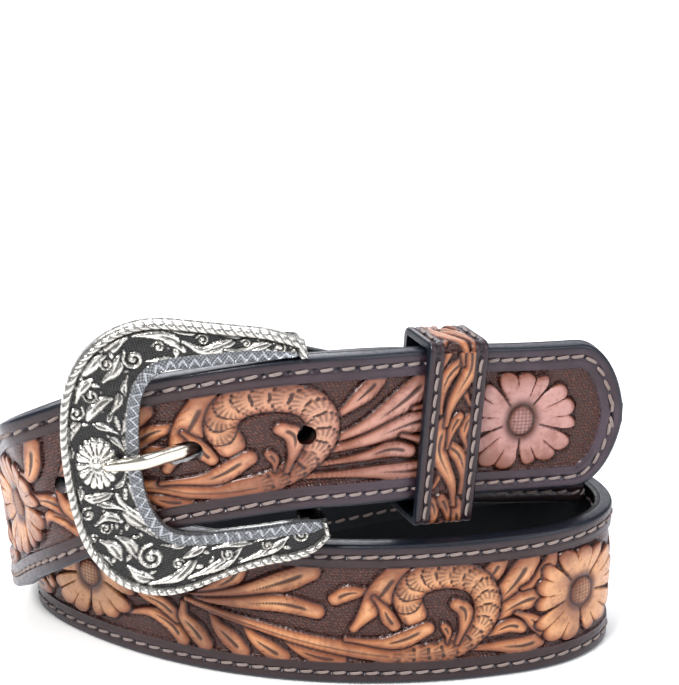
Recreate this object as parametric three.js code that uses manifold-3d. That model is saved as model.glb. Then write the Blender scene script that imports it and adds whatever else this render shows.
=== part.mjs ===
// Buckled western belt, coiled twice on its lower edge.
// Millimetres, +Z up, the tooled face of the front run looks toward -Y.
import * as THREE from 'three';
import { mergeVertices } from 'three/addons/utils/BufferGeometryUtils.js';
import Module from 'manifold-3d';

const wasm = await Module();
wasm.setup();
const { Manifold, Mesh } = wasm;

// coil
const COIL_LONG = 160;
const COIL_DEEP = 80;
const LAYER_GAP = 0.3;

// strap
const STRAP_WIDTH = 38.1;
const STRAP_THICK = 4.5;
const OUTER_PLY = 2.9;
const PLY_GAP = 0.3;
const EDGE_CHAMFER = 0.7;
const LINING_CHAMFER = 0.5;
const LINING_TRIM = 0.25;
const SECTION_STEP = 3.6;
const TIP_LENGTH = 13.5;
const HOLE_DIA = 4.6;
const HOLE_PITCH = 25.4;
const HOLE_COUNT = 3;
const USED_HOLE_LONG = 9.2;
const USED_HOLE_HIGH = 5.2;

// fold of the buckle end
const BAR_RADIUS = 2.0;
const BAR_GAP = 0.35;
const FOLD_SCALE = 0.6;
const FOLD_TAPER = 30;
const RETURN_LENGTH = 17;
const RETURN_TURN = 0.1;
const SLOT_GAP = 1.2;

// keeper
const KEEPER_REACH = 35.9;
const KEEPER_WIDTH = 15.6;
const KEEPER_WALL = 2.0;
const KEEPER_CLEAR = 0.45;
const KEEPER_TILT = -0.03;

// buckle
const FRAME_LONG = 59.5;
const FRAME_THICK = 3.1;
const FRAME_FRONT = 1.2;
const OPENING_CLEAR = 2.3;
const RIM_WIDTH = 2.0;
const RIM_HEIGHT = 0.9;
const CHANNEL_DEPTH = 0.5;
const BAND_WIDTH = 1.3;
const ROSETTE_RADIUS = 5.1;
const BUCKLE_YAW = 7.5;
const BUCKLE_LEAN = 5.0;
const LUG_THICK = 2.0;
const LUG_WIDTH = 6.4;
const LUG_CLEAR = 1.5;

// prong
const PRONG_REACH = 27.5;
const PRONG_WIDE = 3.4;
const PRONG_THICK = 2.4;
const LOOP_WALL = 1.6;

// route of the tooled face's lower edge, from the buckle bar twice round the coil to the tip
// columns: x as a share of COIL_LONG, y of COIL_DEEP, z of STRAP_WIDTH, then strap layers outward
const PATH = [
  [-0.0444, 0.0275, 1.262, 0], [0.0613, 0.1038, 1.207, 0], [0.1588, 0.1850, 1.100, 0],
  [0.2587, 0.2575, 1.010, 0], [0.3375, 0.3050, 0.963, 0], [0.3875, 0.3800, 0.887, 0],
  [0.3600, 0.4987, 0.816, 0], [0.2781, 0.5875, 0.724, 0], [0.1375, 0.6838, 0.549, 0],
  [-0.0387, 0.7625, 0.315, 0], [-0.2131, 0.8075, 0.105, 0], [-0.3500, 0.8137, 0.010, 0],
  [-0.4494, 0.7625, 0.000, 0], [-0.4975, 0.6775, 0.000, 0], [-0.5175, 0.5825, 0.000, 0],
  [-0.5000, 0.4850, 0.000, 0], [-0.4289, 0.3496, 0.000, 0.2], [-0.3218, 0.2195, 0.000, 0.45],
  [-0.1593, 0.1003, 0.000, 0.75], [0.0879, 0.0525, 0.000, 1], [0.2382, 0.0894, 0.000, 1],
  [0.3623, 0.1922, 0.000, 1], [0.3954, 0.2853, 0.000, 1], [0.3907, 0.4077, 0.000, 1],
  [0.3508, 0.5227, 0.000, 1], [0.2724, 0.6050, 0.000, 1], [0.1304, 0.7149, 0.000, 1],
  [-0.0425, 0.7884, 0.000, 1], [-0.2156, 0.8327, 0.010, 1], [-0.3615, 0.8403, 0.047, 1],
  [-0.4737, 0.7830, 0.110, 1], [-0.5161, 0.6976, 0.163, 1], [-0.5263, 0.5659, 0.210, 1],
  [-0.5079, 0.4019, 0.310, 1], [-0.4679, 0.2238, 0.564, 1], [-0.3952, 0.0522, 0.882, 1],
  [-0.2752, 0.0046, 1.144, 1], [-0.1690, -0.0013, 1.241, 1], [-0.0626, 0.0166, 1.289, 1],
  [0.0189, 0.0638, 1.265, 1], [0.1111, 0.1455, 1.223, 1], [0.2264, 0.2346, 1.165, 1],
  [0.3534, 0.3020, 1.134, 1], [0.4299, 0.3349, 1.129, 1],
];

// buckle outline in its own plane, from the upper arm end round the rail to the lower arm end
// columns: outer a, outer b, inner a, inner b; a is a share of FRAME_LONG, b of the opening height
const FRAME_TABLE = [
  [0.461, 0.529, 0.467, 0.459], [0.334, 0.616, 0.321, 0.473], [0.168, 0.679, 0.151, 0.487],
  [-0.015, 0.745, -0.020, 0.496], [-0.108, 0.768, -0.077, 0.492], [-0.269, 0.735, -0.139, 0.443],
  [-0.393, 0.621, -0.178, 0.361], [-0.482, 0.403, -0.203, 0.237], [-0.518, 0.122, -0.220, 0.066],
  [-0.519, -0.204, -0.224, -0.171], [-0.479, -0.511, -0.198, -0.340], [-0.368, -0.735, -0.143, -0.450],
  [-0.215, -0.829, -0.055, -0.492], [-0.017, -0.794, 0.091, -0.506], [0.213, -0.740, 0.261, -0.511],
  [0.418, -0.693, 0.420, -0.518], [0.474, -0.623, 0.467, -0.529],
];
const OPENING_HIGH = STRAP_WIDTH + 2 * OPENING_CLEAR;

const V = (x, y, z) => new THREE.Vector3(x, y, z);
const smooth = (t) => {
  const c = Math.min(1, Math.max(0, t));
  return c * c * (3 - 2 * c);
};

// natural cubic spline through rows of numbers, by chord length
function spline(rows) {
  const n = rows.length;
  const dim = rows[0].length;
  const at = [0];
  for (let i = 1; i < n; i++) {
    const d = Math.hypot(...rows[i].map((v, k) => v - rows[i - 1][k]));
    at.push(at[i - 1] + d);
  }
  const bend = rows.map(() => new Array(dim).fill(0));
  for (let k = 0; k < dim; k++) {
    const lower = new Array(n).fill(0);
    const value = new Array(n).fill(0);
    for (let i = 1; i < n - 1; i++) {
      const h0 = at[i] - at[i - 1];
      const h1 = at[i + 1] - at[i];
      const p = 2 * (h0 + h1) - h0 * lower[i - 1];
      const rise = (rows[i + 1][k] - rows[i][k]) / h1 - (rows[i][k] - rows[i - 1][k]) / h0;
      lower[i] = h1 / p;
      value[i] = (6 * rise - h0 * value[i - 1]) / p;
    }
    for (let i = n - 2; i > 0; i--) {
      bend[i][k] = value[i] - lower[i] * bend[i + 1][k];
    }
  }
  const point = (s) => {
    let i = 0;
    while (i < n - 2 && s > at[i + 1]) i++;
    const h = at[i + 1] - at[i];
    const a = (at[i + 1] - s) / h;
    const b = (s - at[i]) / h;
    return rows[i].map((v, k) => a * v + b * rows[i + 1][k]
      + ((a * a * a - a) * bend[i][k] + (b * b * b - b) * bend[i + 1][k]) * h * h / 6);
  };
  return { point, length: at[n - 1] };
}

// rows of the route in millimetres, each moved outward by its share of a strap layer
function routeRows() {
  const flat = PATH.map(([x, y, z, layer]) => [x * COIL_LONG, y * COIL_DEEP, z * STRAP_WIDTH, layer]);
  return flat.map(([x, y, z, layer], i) => {
    const a = flat[Math.max(0, i - 1)];
    const b = flat[Math.min(flat.length - 1, i + 1)];
    const run = Math.hypot(b[0] - a[0], b[1] - a[1]);
    const out = layer * (STRAP_THICK + LAYER_GAP) / run;
    return [x + (b[1] - a[1]) * out, y - (b[0] - a[0]) * out, z];
  });
}

const track = spline(routeRows());
const lean = THREE.MathUtils.degToRad(BUCKLE_LEAN);
const buckleUp = V(-Math.sin(lean), 0, Math.cos(lean));

// position and directions at a distance along the track
function station(s) {
  const get = (q) => {
    const p = track.point(Math.min(track.length, Math.max(0, q)));
    return V(p[0], p[1], Math.max(0, p[2]));
  };
  const p = get(s);
  const t = get(s + 0.5).sub(get(s - 0.5)).normalize();
  const own = V(0, 0, 1).addScaledVector(t, -t.z).normalize();
  const up = buckleUp.clone().lerp(own, smooth(s / FOLD_TAPER)).normalize();
  const n = t.clone().cross(up).normalize();
  return { p, t: up.clone().cross(n), up, n };
}

const start = station(0);
const foldRadius = BAR_RADIUS + BAR_GAP + STRAP_THICK * FOLD_SCALE;
const barLow = start.p.clone().addScaledVector(start.n, -foldRadius);

// stations of the whole strap: the folded return, the turn round the bar, then the track
function strapStations() {
  const list = [];
  const turn = Math.PI + RETURN_TURN;
  const turned = (q) => {
    const n = start.n.clone().multiplyScalar(Math.cos(q)).addScaledVector(start.t, -Math.sin(q));
    const t = start.n.clone().multiplyScalar(Math.sin(q)).addScaledVector(start.t, Math.cos(q));
    const p = barLow.clone().addScaledVector(n, foldRadius);
    return { p, t, up: start.up, n, thick: FOLD_SCALE, half: 1 };
  };
  const end = turned(turn);
  for (let i = 0; i < 4; i++) {
    const p = end.p.clone().addScaledVector(end.t, -RETURN_LENGTH * (1 - i / 4));
    list.push({ ...end, p });
  }
  const steps = 14;
  for (let i = 0; i < steps; i++) list.push(turned(turn * (1 - i / steps)));
  const straight = track.length - TIP_LENGTH;
  const count = Math.round(straight / SECTION_STEP);
  for (let i = 0; i <= count; i++) {
    const s = straight * i / count;
    list.push({ ...station(s), thick: FOLD_SCALE + (1 - FOLD_SCALE) * smooth(s / FOLD_TAPER), half: 1 });
  }
  for (const left of [0.78, 0.58, 0.4, 0.26, 0.15, 0.07, 0.02, 0]) {
    const half = Math.max(0.12, Math.pow(1 - Math.pow(1 - left, 2.3), 0.62));
    list.push({ ...station(track.length - TIP_LENGTH * left), thick: 1, half });
  }
  return list;
}

// solid from vertices and triangles, turned inside out if they wind inward
function closed(pos, idx) {
  const make = (tris) => new Manifold(new Mesh({
    numProp: 3,
    vertProperties: new Float32Array(pos),
    triVerts: new Uint32Array(tris),
  }));
  const solid = make(idx);
  if (solid.volume() > 0) return solid;
  const flip = [];
  for (let i = 0; i < idx.length; i += 3) flip.push(idx[i], idx[i + 2], idx[i + 1]);
  return make(flip);
}

function solidOf(geometry) {
  geometry.deleteAttribute('normal');
  geometry.deleteAttribute('uv');
  const merged = mergeVertices(geometry, 1e-4);
  return closed(Array.from(merged.attributes.position.array), Array.from(merged.index.array));
}

// upright round rod, centred
const rod = (radius, high, sides) => solidOf(new THREE.CylinderGeometry(radius, radius, high, sides)
  .rotateX(Math.PI / 2));

// flat outline raised by its depth
const slab = (points, depth) => solidOf(new THREE.ExtrudeGeometry(
  new THREE.Shape(points.map(([x, y]) => new THREE.Vector2(x, y))), { depth, bevelEnabled: false }));

const circle = (radius, sides, x = 0, y = 0) => Array.from({ length: sides }, (_, i) => {
  const w = 2 * Math.PI * i / sides;
  return [x + radius * Math.cos(w), y + radius * Math.sin(w)];
});

// convex outline round a set of points
function hull(points) {
  const sorted = [...points].sort((p, q) => p[0] - q[0] || p[1] - q[1]);
  const half = (list) => {
    const out = [];
    for (const p of list) {
      while (out.length > 1) {
        const [a, b] = out.slice(-2);
        if ((b[0] - a[0]) * (p[1] - a[1]) - (b[1] - a[1]) * (p[0] - a[0]) > 1e-9) break;
        out.pop();
      }
      out.push(p);
    }
    return out.slice(0, -1);
  };
  return [...half(sorted), ...half(sorted.reverse())];
}

// closed body from equal rings of points
function loft(rings, ringClosed, otherWay = false) {
  const n = rings[0].length;
  const pos = rings.flat().flatMap((p) => [p.x, p.y, p.z]);
  const idx = [];
  const m = rings.length;
  const last = ringClosed ? m : m - 1;
  for (let i = 0; i < last; i++) {
    for (let k = 0; k < n; k++) {
      const a = i * n + k;
      const b = i * n + (k + 1) % n;
      const c = ((i + 1) % m) * n + k;
      const d = ((i + 1) % m) * n + (k + 1) % n;
      if (otherWay) idx.push(a, b, c, b, d, c);
      else idx.push(a, b, d, a, d, c);
    }
  }
  if (!ringClosed) {
    for (let k = 1; k < n - 1; k++) {
      idx.push(0, k + 1, k);
      const e = (m - 1) * n;
      idx.push(e, e + k, e + k + 1);
    }
  }
  return closed(pos, idx);
}

// transform whose columns are three directions and a place
function placed(solid, x, y, z, at) {
  return solid.transform([x.x, x.y, x.z, 0, y.x, y.y, y.z, 0, z.x, z.y, z.z, 0, at.x, at.y, at.z, 1]);
}

const stations = strapStations();
const mid = STRAP_WIDTH / 2;
const barMid = barLow.clone().addScaledVector(start.up, mid);

// the buckle's own plane: along the strap, up the bar and out of the front
const yaw = THREE.MathUtils.degToRad(BUCKLE_YAW);
const flatAlong = V(Math.cos(yaw), Math.sin(yaw), 0);
const buckleAlong = flatAlong.addScaledVector(buckleUp, -flatAlong.dot(buckleUp)).normalize();
const buckleOut = buckleAlong.clone().cross(buckleUp);
const barAlong = 0.4034 * FRAME_LONG;
const barUp = -0.0337 * OPENING_HIGH;
const barDeep = foldRadius + LAYER_GAP + STRAP_THICK + FRAME_FRONT;
const buckleAt = barMid.clone().addScaledVector(buckleAlong, -barAlong)
  .addScaledVector(buckleUp, -barUp).addScaledVector(buckleOut, barDeep);
const onBuckle = (a, b, c) => buckleAt.clone().addScaledVector(buckleAlong, a)
  .addScaledVector(buckleUp, b).addScaledVector(buckleOut, c);

// distance along the track, between two limits, where a measure of the station is nearest to a value
function trackWhere(measure, value, from, to) {
  let best = from;
  for (let s = from; s <= to; s += 0.1) {
    if (Math.abs(measure(station(s)) - value) < Math.abs(measure(station(best)) - value)) best = s;
  }
  return best;
}
const fromBar = (st) => st.p.clone().addScaledVector(st.up, mid).sub(barMid).dot(buckleAlong);
const tipRun = track.length - COIL_LONG * 0.95;
const usedAt = trackWhere(fromBar, -PRONG_REACH, tipRun, track.length);

// ring of one ply: depths are fractions of the strap thickness from the tooled face
function plyRing(st, near, far, frontCut, backCut, trim) {
  const at = (depth, inset) => {
    const b = (side) => mid + side * (mid - trim - inset) * st.half;
    const d = depth * st.thick;
    return [b(-1), b(1)].map((v) => st.p.clone().addScaledVector(st.up, v).addScaledVector(st.n, -d));
  };
  const a = at(near, frontCut);
  const b = at(near + frontCut, 0);
  const c = at(far - backCut, 0);
  const d = at(far, backCut);
  if (frontCut > 0) return [a[0], a[1], b[1], d[1], d[0], b[0]];
  return [a[0], a[1], c[1], d[1], d[0], c[0]];
}

let outer = loft(stations.map((s) => plyRing(s, 0, OUTER_PLY, EDGE_CHAMFER, 0, 0)), false);
let inner = loft(stations.map((s) => plyRing(s, OUTER_PLY + PLY_GAP, STRAP_THICK, 0, LINING_CHAMFER,
  LINING_TRIM)), false, true);

// punched holes on the centre line, one toward the tip from the used one, which is stretched
const holes = [];
for (let i = 0; i < HOLE_COUNT; i++) {
  const st = station(usedAt + HOLE_PITCH * (1 - i));
  const used = i === 1;
  const spread = (USED_HOLE_LONG - USED_HOLE_HIGH) / 2;
  const outline = used
    ? hull([...circle(USED_HOLE_HIGH / 2, 16, -spread), ...circle(USED_HOLE_HIGH / 2, 16, spread)])
    : circle(HOLE_DIA / 2, 16);
  const back = STRAP_THICK + (used ? 1 : LAYER_GAP / 2);
  const punch = slab(outline, back + 1).translate([0, 0, -back]);
  holes.push(placed(punch, st.t, st.up, st.n, st.p.clone().addScaledVector(st.up, mid)));
}
const slotHigh = PRONG_WIDE * 1.2 + 2 * SLOT_GAP;
const slot = placed(rod(foldRadius + LAYER_GAP * 0.8, slotHigh, 28),
  start.t, start.n.clone().negate(), start.up, barMid);
const cut = Manifold.union([...holes, slot]);
outer = outer.subtract(cut);
inner = inner.subtract(cut);

// keeper: a leather band round the tip run and the buckle run behind it
function keeperSolid() {
  const front = station(trackWhere(fromBar, KEEPER_REACH, tipRun, track.length));
  const pastFront = (st) => st.p.clone().sub(front.p).dot(front.t);
  const behind = station(trackWhere(pastFront, 0, 0, COIL_LONG * 0.4));
  const gapBack = behind.p.clone().sub(front.p);
  const depth = -gapBack.dot(front.n) + STRAP_THICK;
  const drop = gapBack.dot(front.up);
  const n0 = KEEPER_CLEAR + 0.5;
  const n1 = -depth - KEEPER_CLEAR - 0.6;
  const b0 = drop - KEEPER_CLEAR - 0.8;
  const b1 = STRAP_WIDTH + KEEPER_CLEAR + 0.1;
  const rim = (grow, round) => {
    const pts = [];
    const cn = [(n0 + grow - round), (n1 - grow + round)];
    const cb = [(b1 + grow - round), (b0 - grow + round)];
    const corner = [[0, 0, 0], [1, 0, 1], [1, 1, 2], [0, 1, 3]];
    for (const [i, j, q] of corner) {
      for (let k = 0; k <= 4; k++) {
        const w = (q + k / 4) * Math.PI / 2;
        pts.push([cn[i] + round * Math.cos(w), cb[j] + round * Math.sin(w)]);
      }
    }
    const out = [];
    pts.forEach((p, i) => {
      const e = pts[(i + 1) % pts.length];
      const long = Math.hypot(e[0] - p[0], e[1] - p[1]) > 20;
      out.push(p);
      if (long) for (let k = 1; k < 6; k++) out.push([p[0] + (e[0] - p[0]) * k / 6, p[1] + (e[1] - p[1]) * k / 6]);
    });
    return out;
  };
  const inside = rim(0, 0.8);
  const outside = rim(KEEPER_WALL, 2.4);
  const half = KEEPER_WIDTH / 2;
  const place = (q, x) => front.p.clone().addScaledVector(front.n, q[0]).addScaledVector(front.up, q[1])
    .addScaledVector(front.t, x + KEEPER_TILT * (q[1] - mid));
  const rings = inside.map((q, i) => {
    const o = outside[i];
    const m = [o[0] * 0.75 + q[0] * 0.25, o[1] * 0.75 + q[1] * 0.25];
    return [place(q, -half), place(m, -half), place(o, -half + 0.5), place(o, half - 0.5),
      place(m, half), place(q, half)];
  });
  return loft(rings, true);
}

// buckle: a cast C-shaped frame with a roped rim, a heel bar behind it and two lugs
function buckleSolid() {
  const rows = FRAME_TABLE.map(([ao, bo, ai, bi]) => [ao * FRAME_LONG, bo * OPENING_HIGH,
    ai * FRAME_LONG, bi * OPENING_HIGH]);
  const line = spline(rows);
  const count = 64;
  const rings = [];
  for (let i = 0; i <= count; i++) {
    const [ao, bo, ai, bi] = line.point(line.length * i / count);
    const width = Math.hypot(ao - ai, bo - bi);
    const at = (w, c) => onBuckle(ao + (ai - ao) * w / width, bo + (bi - bo) * w / width, c);
    const foot = RIM_HEIGHT * 0.4;
    rings.push([
      at(0, -FRAME_THICK + 0.4), at(0, -0.5), at(RIM_WIDTH * 0.18, foot), at(RIM_WIDTH / 2, RIM_HEIGHT * 0.8),
      at(RIM_WIDTH * 0.85, foot), at(RIM_WIDTH, -CHANNEL_DEPTH),
      at(width - BAND_WIDTH, -CHANNEL_DEPTH + 0.1), at(width - BAND_WIDTH * 0.7, 0),
      at(width - 0.2, -0.2), at(width, -0.7), at(width, -FRAME_THICK + 0.5),
      at(width - 0.5, -FRAME_THICK), at(0.4, -FRAME_THICK),
    ]);
  }
  const frame = loft(rings, false);
  const armA = 0.464 * FRAME_LONG;
  const plan = hull([
    ...circle(BAR_RADIUS + 0.8, 18, barAlong, -barDeep),
    [armA - LUG_WIDTH, -FRAME_THICK + 0.5], [armA, -FRAME_THICK + 0.5],
    [armA - LUG_WIDTH, -FRAME_THICK + 2.1], [armA, -FRAME_THICK + 2.1],
  ]);
  const upper = barUp + mid + LUG_CLEAR;
  const lower = barUp - mid - LUG_CLEAR;
  const lugs = [upper + LUG_THICK, lower].map((top) => placed(slab(plan, LUG_THICK),
    buckleAlong, buckleOut, buckleUp.clone().negate(), onBuckle(0, top, 0)));
  const barTop = upper + LUG_THICK / 2;
  const barBottom = lower - LUG_THICK / 2;
  const bar = placed(rod(BAR_RADIUS, barTop - barBottom, 20), buckleAlong, buckleOut.clone().negate(),
    buckleUp, onBuckle(barAlong, (barTop + barBottom) / 2, -barDeep));
  const petals = circle(ROSETTE_RADIUS, 32).map(([x, y], i) => (i % 2 ? [x * 0.65, y * 0.65] : [x, y]));
  const rosette = placed(slab(petals, CHANNEL_DEPTH + 0.4), buckleAlong, buckleUp, buckleOut,
    onBuckle(-0.397 * FRAME_LONG, 0.01 * OPENING_HIGH, -CHANNEL_DEPTH - 0.3));
  return Manifold.union([frame, bar, rosette, ...lugs]);
}

// prong: a loop round the bar and a shank through the used hole, its tip on the rail
function prongSolid() {
  const eyeRadius = BAR_RADIUS + BAR_GAP;
  const onBar = (solid) => placed(solid, start.t, start.n.clone().negate(), start.up, barMid);
  const eye = onBar(rod(eyeRadius, PRONG_WIDE * 2, 24));
  const loop = onBar(rod(eyeRadius + LOOP_WALL, PRONG_WIDE * 1.2, 28));
  const off = (ds, depth) => {
    const st = station(usedAt + ds);
    return st.p.clone().addScaledVector(st.up, mid).addScaledVector(st.n, depth);
  };
  const behind = -STRAP_THICK - PRONG_THICK / 2 - 0.45;
  const rest = PRONG_THICK / 2 + 0.5;
  const first = barMid.clone().addScaledVector(start.n, eyeRadius + LOOP_WALL / 2)
    .addScaledVector(start.t, -0.6);
  // moves a point to a height on the buckle
  const atHeight = (p, b) => p.addScaledVector(buckleUp, b - p.clone().sub(buckleAt).dot(buckleUp));
  const holeUp = -0.95;
  const tipUp = 0.4;
  // columns: place, share of the thickness, share of the width
  const knots = [
    [first, 0.55, 1.1], [first.clone().lerp(off(4.6, behind), 0.5), 0.85, 1], [off(4.6, behind), 0.95, 1],
    [atHeight(off(0.5, -STRAP_THICK * 0.5), holeUp), 1, 1],
    [atHeight(off(-3.6, 2.2), holeUp + 0.27), 1, 0.96],
    [onBuckle(-0.222 * FRAME_LONG, tipUp - 0.56, rest - 0.2), 0.95, 0.9],
    [onBuckle(-0.294 * FRAME_LONG, tipUp - 0.28, rest), 0.85, 0.8],
    [onBuckle(-0.366 * FRAME_LONG, tipUp, rest), 0.7, 0.66],
  ];
  const curve = new THREE.CatmullRomCurve3(knots.map((k) => k[0]), false, 'centripetal');
  const share = (f, col) => {
    const g = f * (knots.length - 1);
    const i = Math.min(knots.length - 2, Math.floor(g));
    return knots[i][col] + (knots[i + 1][col] - knots[i][col]) * (g - i);
  };
  const shape = [[1, 0.45], [0.5, 1], [-0.5, 1], [-1, 0.45], [-1, -0.6], [-0.6, -1], [0.6, -1], [1, -0.6]];
  const steps = 30;
  const rings = [];
  for (let i = 0; i <= steps; i++) {
    const f = i / steps;
    const p = curve.getPoint(f);
    const t = curve.getTangent(f);
    const up = buckleUp.clone().addScaledVector(t, -buckleUp.dot(t)).normalize();
    const out = up.clone().cross(t).normalize();
    const end = i === steps ? 0.55 : 1;
    const h = PRONG_THICK / 2 * share(f, 1) * end;
    const w = PRONG_WIDE / 2 * share(f, 2) * end;
    rings.push(shape.map(([b, c]) => p.clone().addScaledVector(up, b * w).addScaledVector(out, c * h)));
  }
  return loop.add(loft(rings, false)).subtract(eye);
}

const keeper = keeperSolid();
const buckle = buckleSolid();
const prong = prongSolid();

// the frame origin is the middle of the bottom of the whole part
const parts = [
  ['tooled_strap', outer, 0x8a5a3c, 0.7, 0],
  ['lining', inner, 0x1b2330, 0.5, 0],
  ['keeper', keeper, 0x9a6744, 0.7, 0],
  ['buckle_frame', buckle, 0xb9bcc0, 0.35, 1],
  ['prong', prong, 0xd8d4c8, 0.25, 1],
];
const low = [Infinity, Infinity, Infinity];
const high = [-Infinity, -Infinity, -Infinity];
for (const [, solid] of parts) {
  const box = solid.boundingBox();
  for (let k = 0; k < 3; k++) {
    low[k] = Math.min(low[k], box.min[k]);
    high[k] = Math.max(high[k], box.max[k]);
  }
}
const shift = [-(low[0] + high[0]) / 2, -(low[1] + high[1]) / 2, -low[2]];

const group = new THREE.Group();
group.name = 'western_belt';
for (const [name, solid, color, roughness, metalness] of parts) {
  const mesh = solid.getMesh();
  const geometry = new THREE.BufferGeometry();
  const pos = new Float32Array(mesh.numVert * 3);
  for (let i = 0; i < mesh.numVert; i++) {
    for (let k = 0; k < 3; k++) pos[i * 3 + k] = mesh.vertProperties[i * mesh.numProp + k] + shift[k];
  }
  geometry.setAttribute('position', new THREE.BufferAttribute(pos, 3));
  geometry.setIndex(new THREE.BufferAttribute(new Uint32Array(mesh.triVerts), 1));
  geometry.computeVertexNormals();
  const item = new THREE.Mesh(geometry, new THREE.MeshStandardMaterial({ color, roughness, metalness }));
  item.name = name;
  group.add(item);
}

export default group;
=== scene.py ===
import math
import bpy
import bmesh
import numpy as np
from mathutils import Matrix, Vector


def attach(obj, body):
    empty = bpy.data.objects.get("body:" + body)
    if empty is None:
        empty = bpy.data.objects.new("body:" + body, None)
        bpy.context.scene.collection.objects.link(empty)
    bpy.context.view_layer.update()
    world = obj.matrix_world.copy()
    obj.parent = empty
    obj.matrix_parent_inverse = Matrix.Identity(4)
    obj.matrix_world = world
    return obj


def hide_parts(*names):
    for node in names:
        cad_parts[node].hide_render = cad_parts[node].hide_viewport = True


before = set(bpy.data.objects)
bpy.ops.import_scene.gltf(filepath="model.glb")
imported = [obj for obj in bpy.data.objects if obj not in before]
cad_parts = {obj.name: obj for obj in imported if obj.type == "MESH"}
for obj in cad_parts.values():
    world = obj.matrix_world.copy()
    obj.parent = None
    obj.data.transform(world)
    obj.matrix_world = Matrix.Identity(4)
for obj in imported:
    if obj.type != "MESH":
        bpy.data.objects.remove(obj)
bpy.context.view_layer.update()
MM = 0.001


# Studio: a pale seamless floor, soft light from both sides and above, and a camera that looks
# down on the coil from the front, as the photograph does.
CAMERA_AT = (0.01037, -0.39488, 0.225)
CAMERA_DOWN = 20.3
CAMERA_ROLL = -0.8
CAMERA_FOV = 22.8

bpy.ops.object.select_all(action="DESELECT")
camera_data = bpy.data.cameras.new("camera")
camera = bpy.data.objects.new("camera", camera_data)
bpy.context.scene.collection.objects.link(camera)
camera.location = CAMERA_AT
camera.rotation_mode = "XYZ"
camera.rotation_euler = (math.radians(90 - CAMERA_DOWN), 0, 0)
camera.rotation_euler.rotate_axis("Z", math.radians(CAMERA_ROLL))
camera_data.sensor_fit = "VERTICAL"
camera_data.angle = math.radians(CAMERA_FOV)
camera_data.clip_start = 0.01
bpy.context.scene.camera = camera


def soft_light(name, at, aim, size, power, colour):
    data = bpy.data.lights.new(name, "AREA")
    data.shape = "RECTANGLE"
    data.size, data.size_y = size
    data.energy = power
    data.color = colour
    lamp = bpy.data.objects.new(name, data)
    lamp.location = at
    lamp.rotation_euler = (Vector(aim) - Vector(at)).to_track_quat("-Z", "Y").to_euler()
    bpy.context.scene.collection.objects.link(lamp)


soft_light("key_light", (-0.35, -0.55, 0.75), (0, 0, 0.04), (0.30, 0.20), 6.6, (1.0, 0.98, 0.95))
soft_light("fill_light", (0.65, -0.45, 0.45), (0, 0, 0.04), (0.5, 0.5), 2.0, (0.93, 0.96, 1.0))
soft_light("top_light", (0.0, 0.25, 0.9), (0, 0, 0.03), (0.8, 0.5), 3.4, (0.95, 0.97, 1.0))
soft_light("back_light", (-0.2, 0.7, 0.45), (0, 0, 0.03), (0.6, 0.4), 1.6, (1.0, 1.0, 1.0))
soft_light("floor_light", (0.0, 1.5, 0.7), (0, 1.4, 0), (2.4, 0.8), 9.0, (1.0, 1.0, 1.0))
world = bpy.data.worlds.new("studio")
world.use_nodes = True
world.node_tree.nodes["Background"].inputs["Color"].default_value = (0.93, 0.95, 1.0, 1)
world.node_tree.nodes["Background"].inputs["Strength"].default_value = 0.28
bpy.context.scene.world = world
bpy.context.scene.view_settings.view_transform = "Standard"
bpy.context.scene.view_settings.look = "Medium High Contrast"

bpy.ops.mesh.primitive_plane_add(size=6, location=(0, 0, -0.0002))
floor = bpy.context.object
floor.name = "floor"
floor_paint = bpy.data.materials.new("floor_paint")
floor_paint.use_nodes = True
floor_shader = floor_paint.node_tree.nodes["Principled BSDF"]
floor_shader.inputs["Base Color"].default_value = (0.93, 0.93, 0.93, 1)
floor_shader.inputs["Roughness"].default_value = 0.9
floor_shader.inputs["Specular IOR Level"].default_value = 0.1
floor_shader.inputs["Emission Color"].default_value = (1, 1, 1, 1)
floor_shader.inputs["Emission Strength"].default_value = 0.12
floor.data.materials.append(floor_paint)


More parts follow.
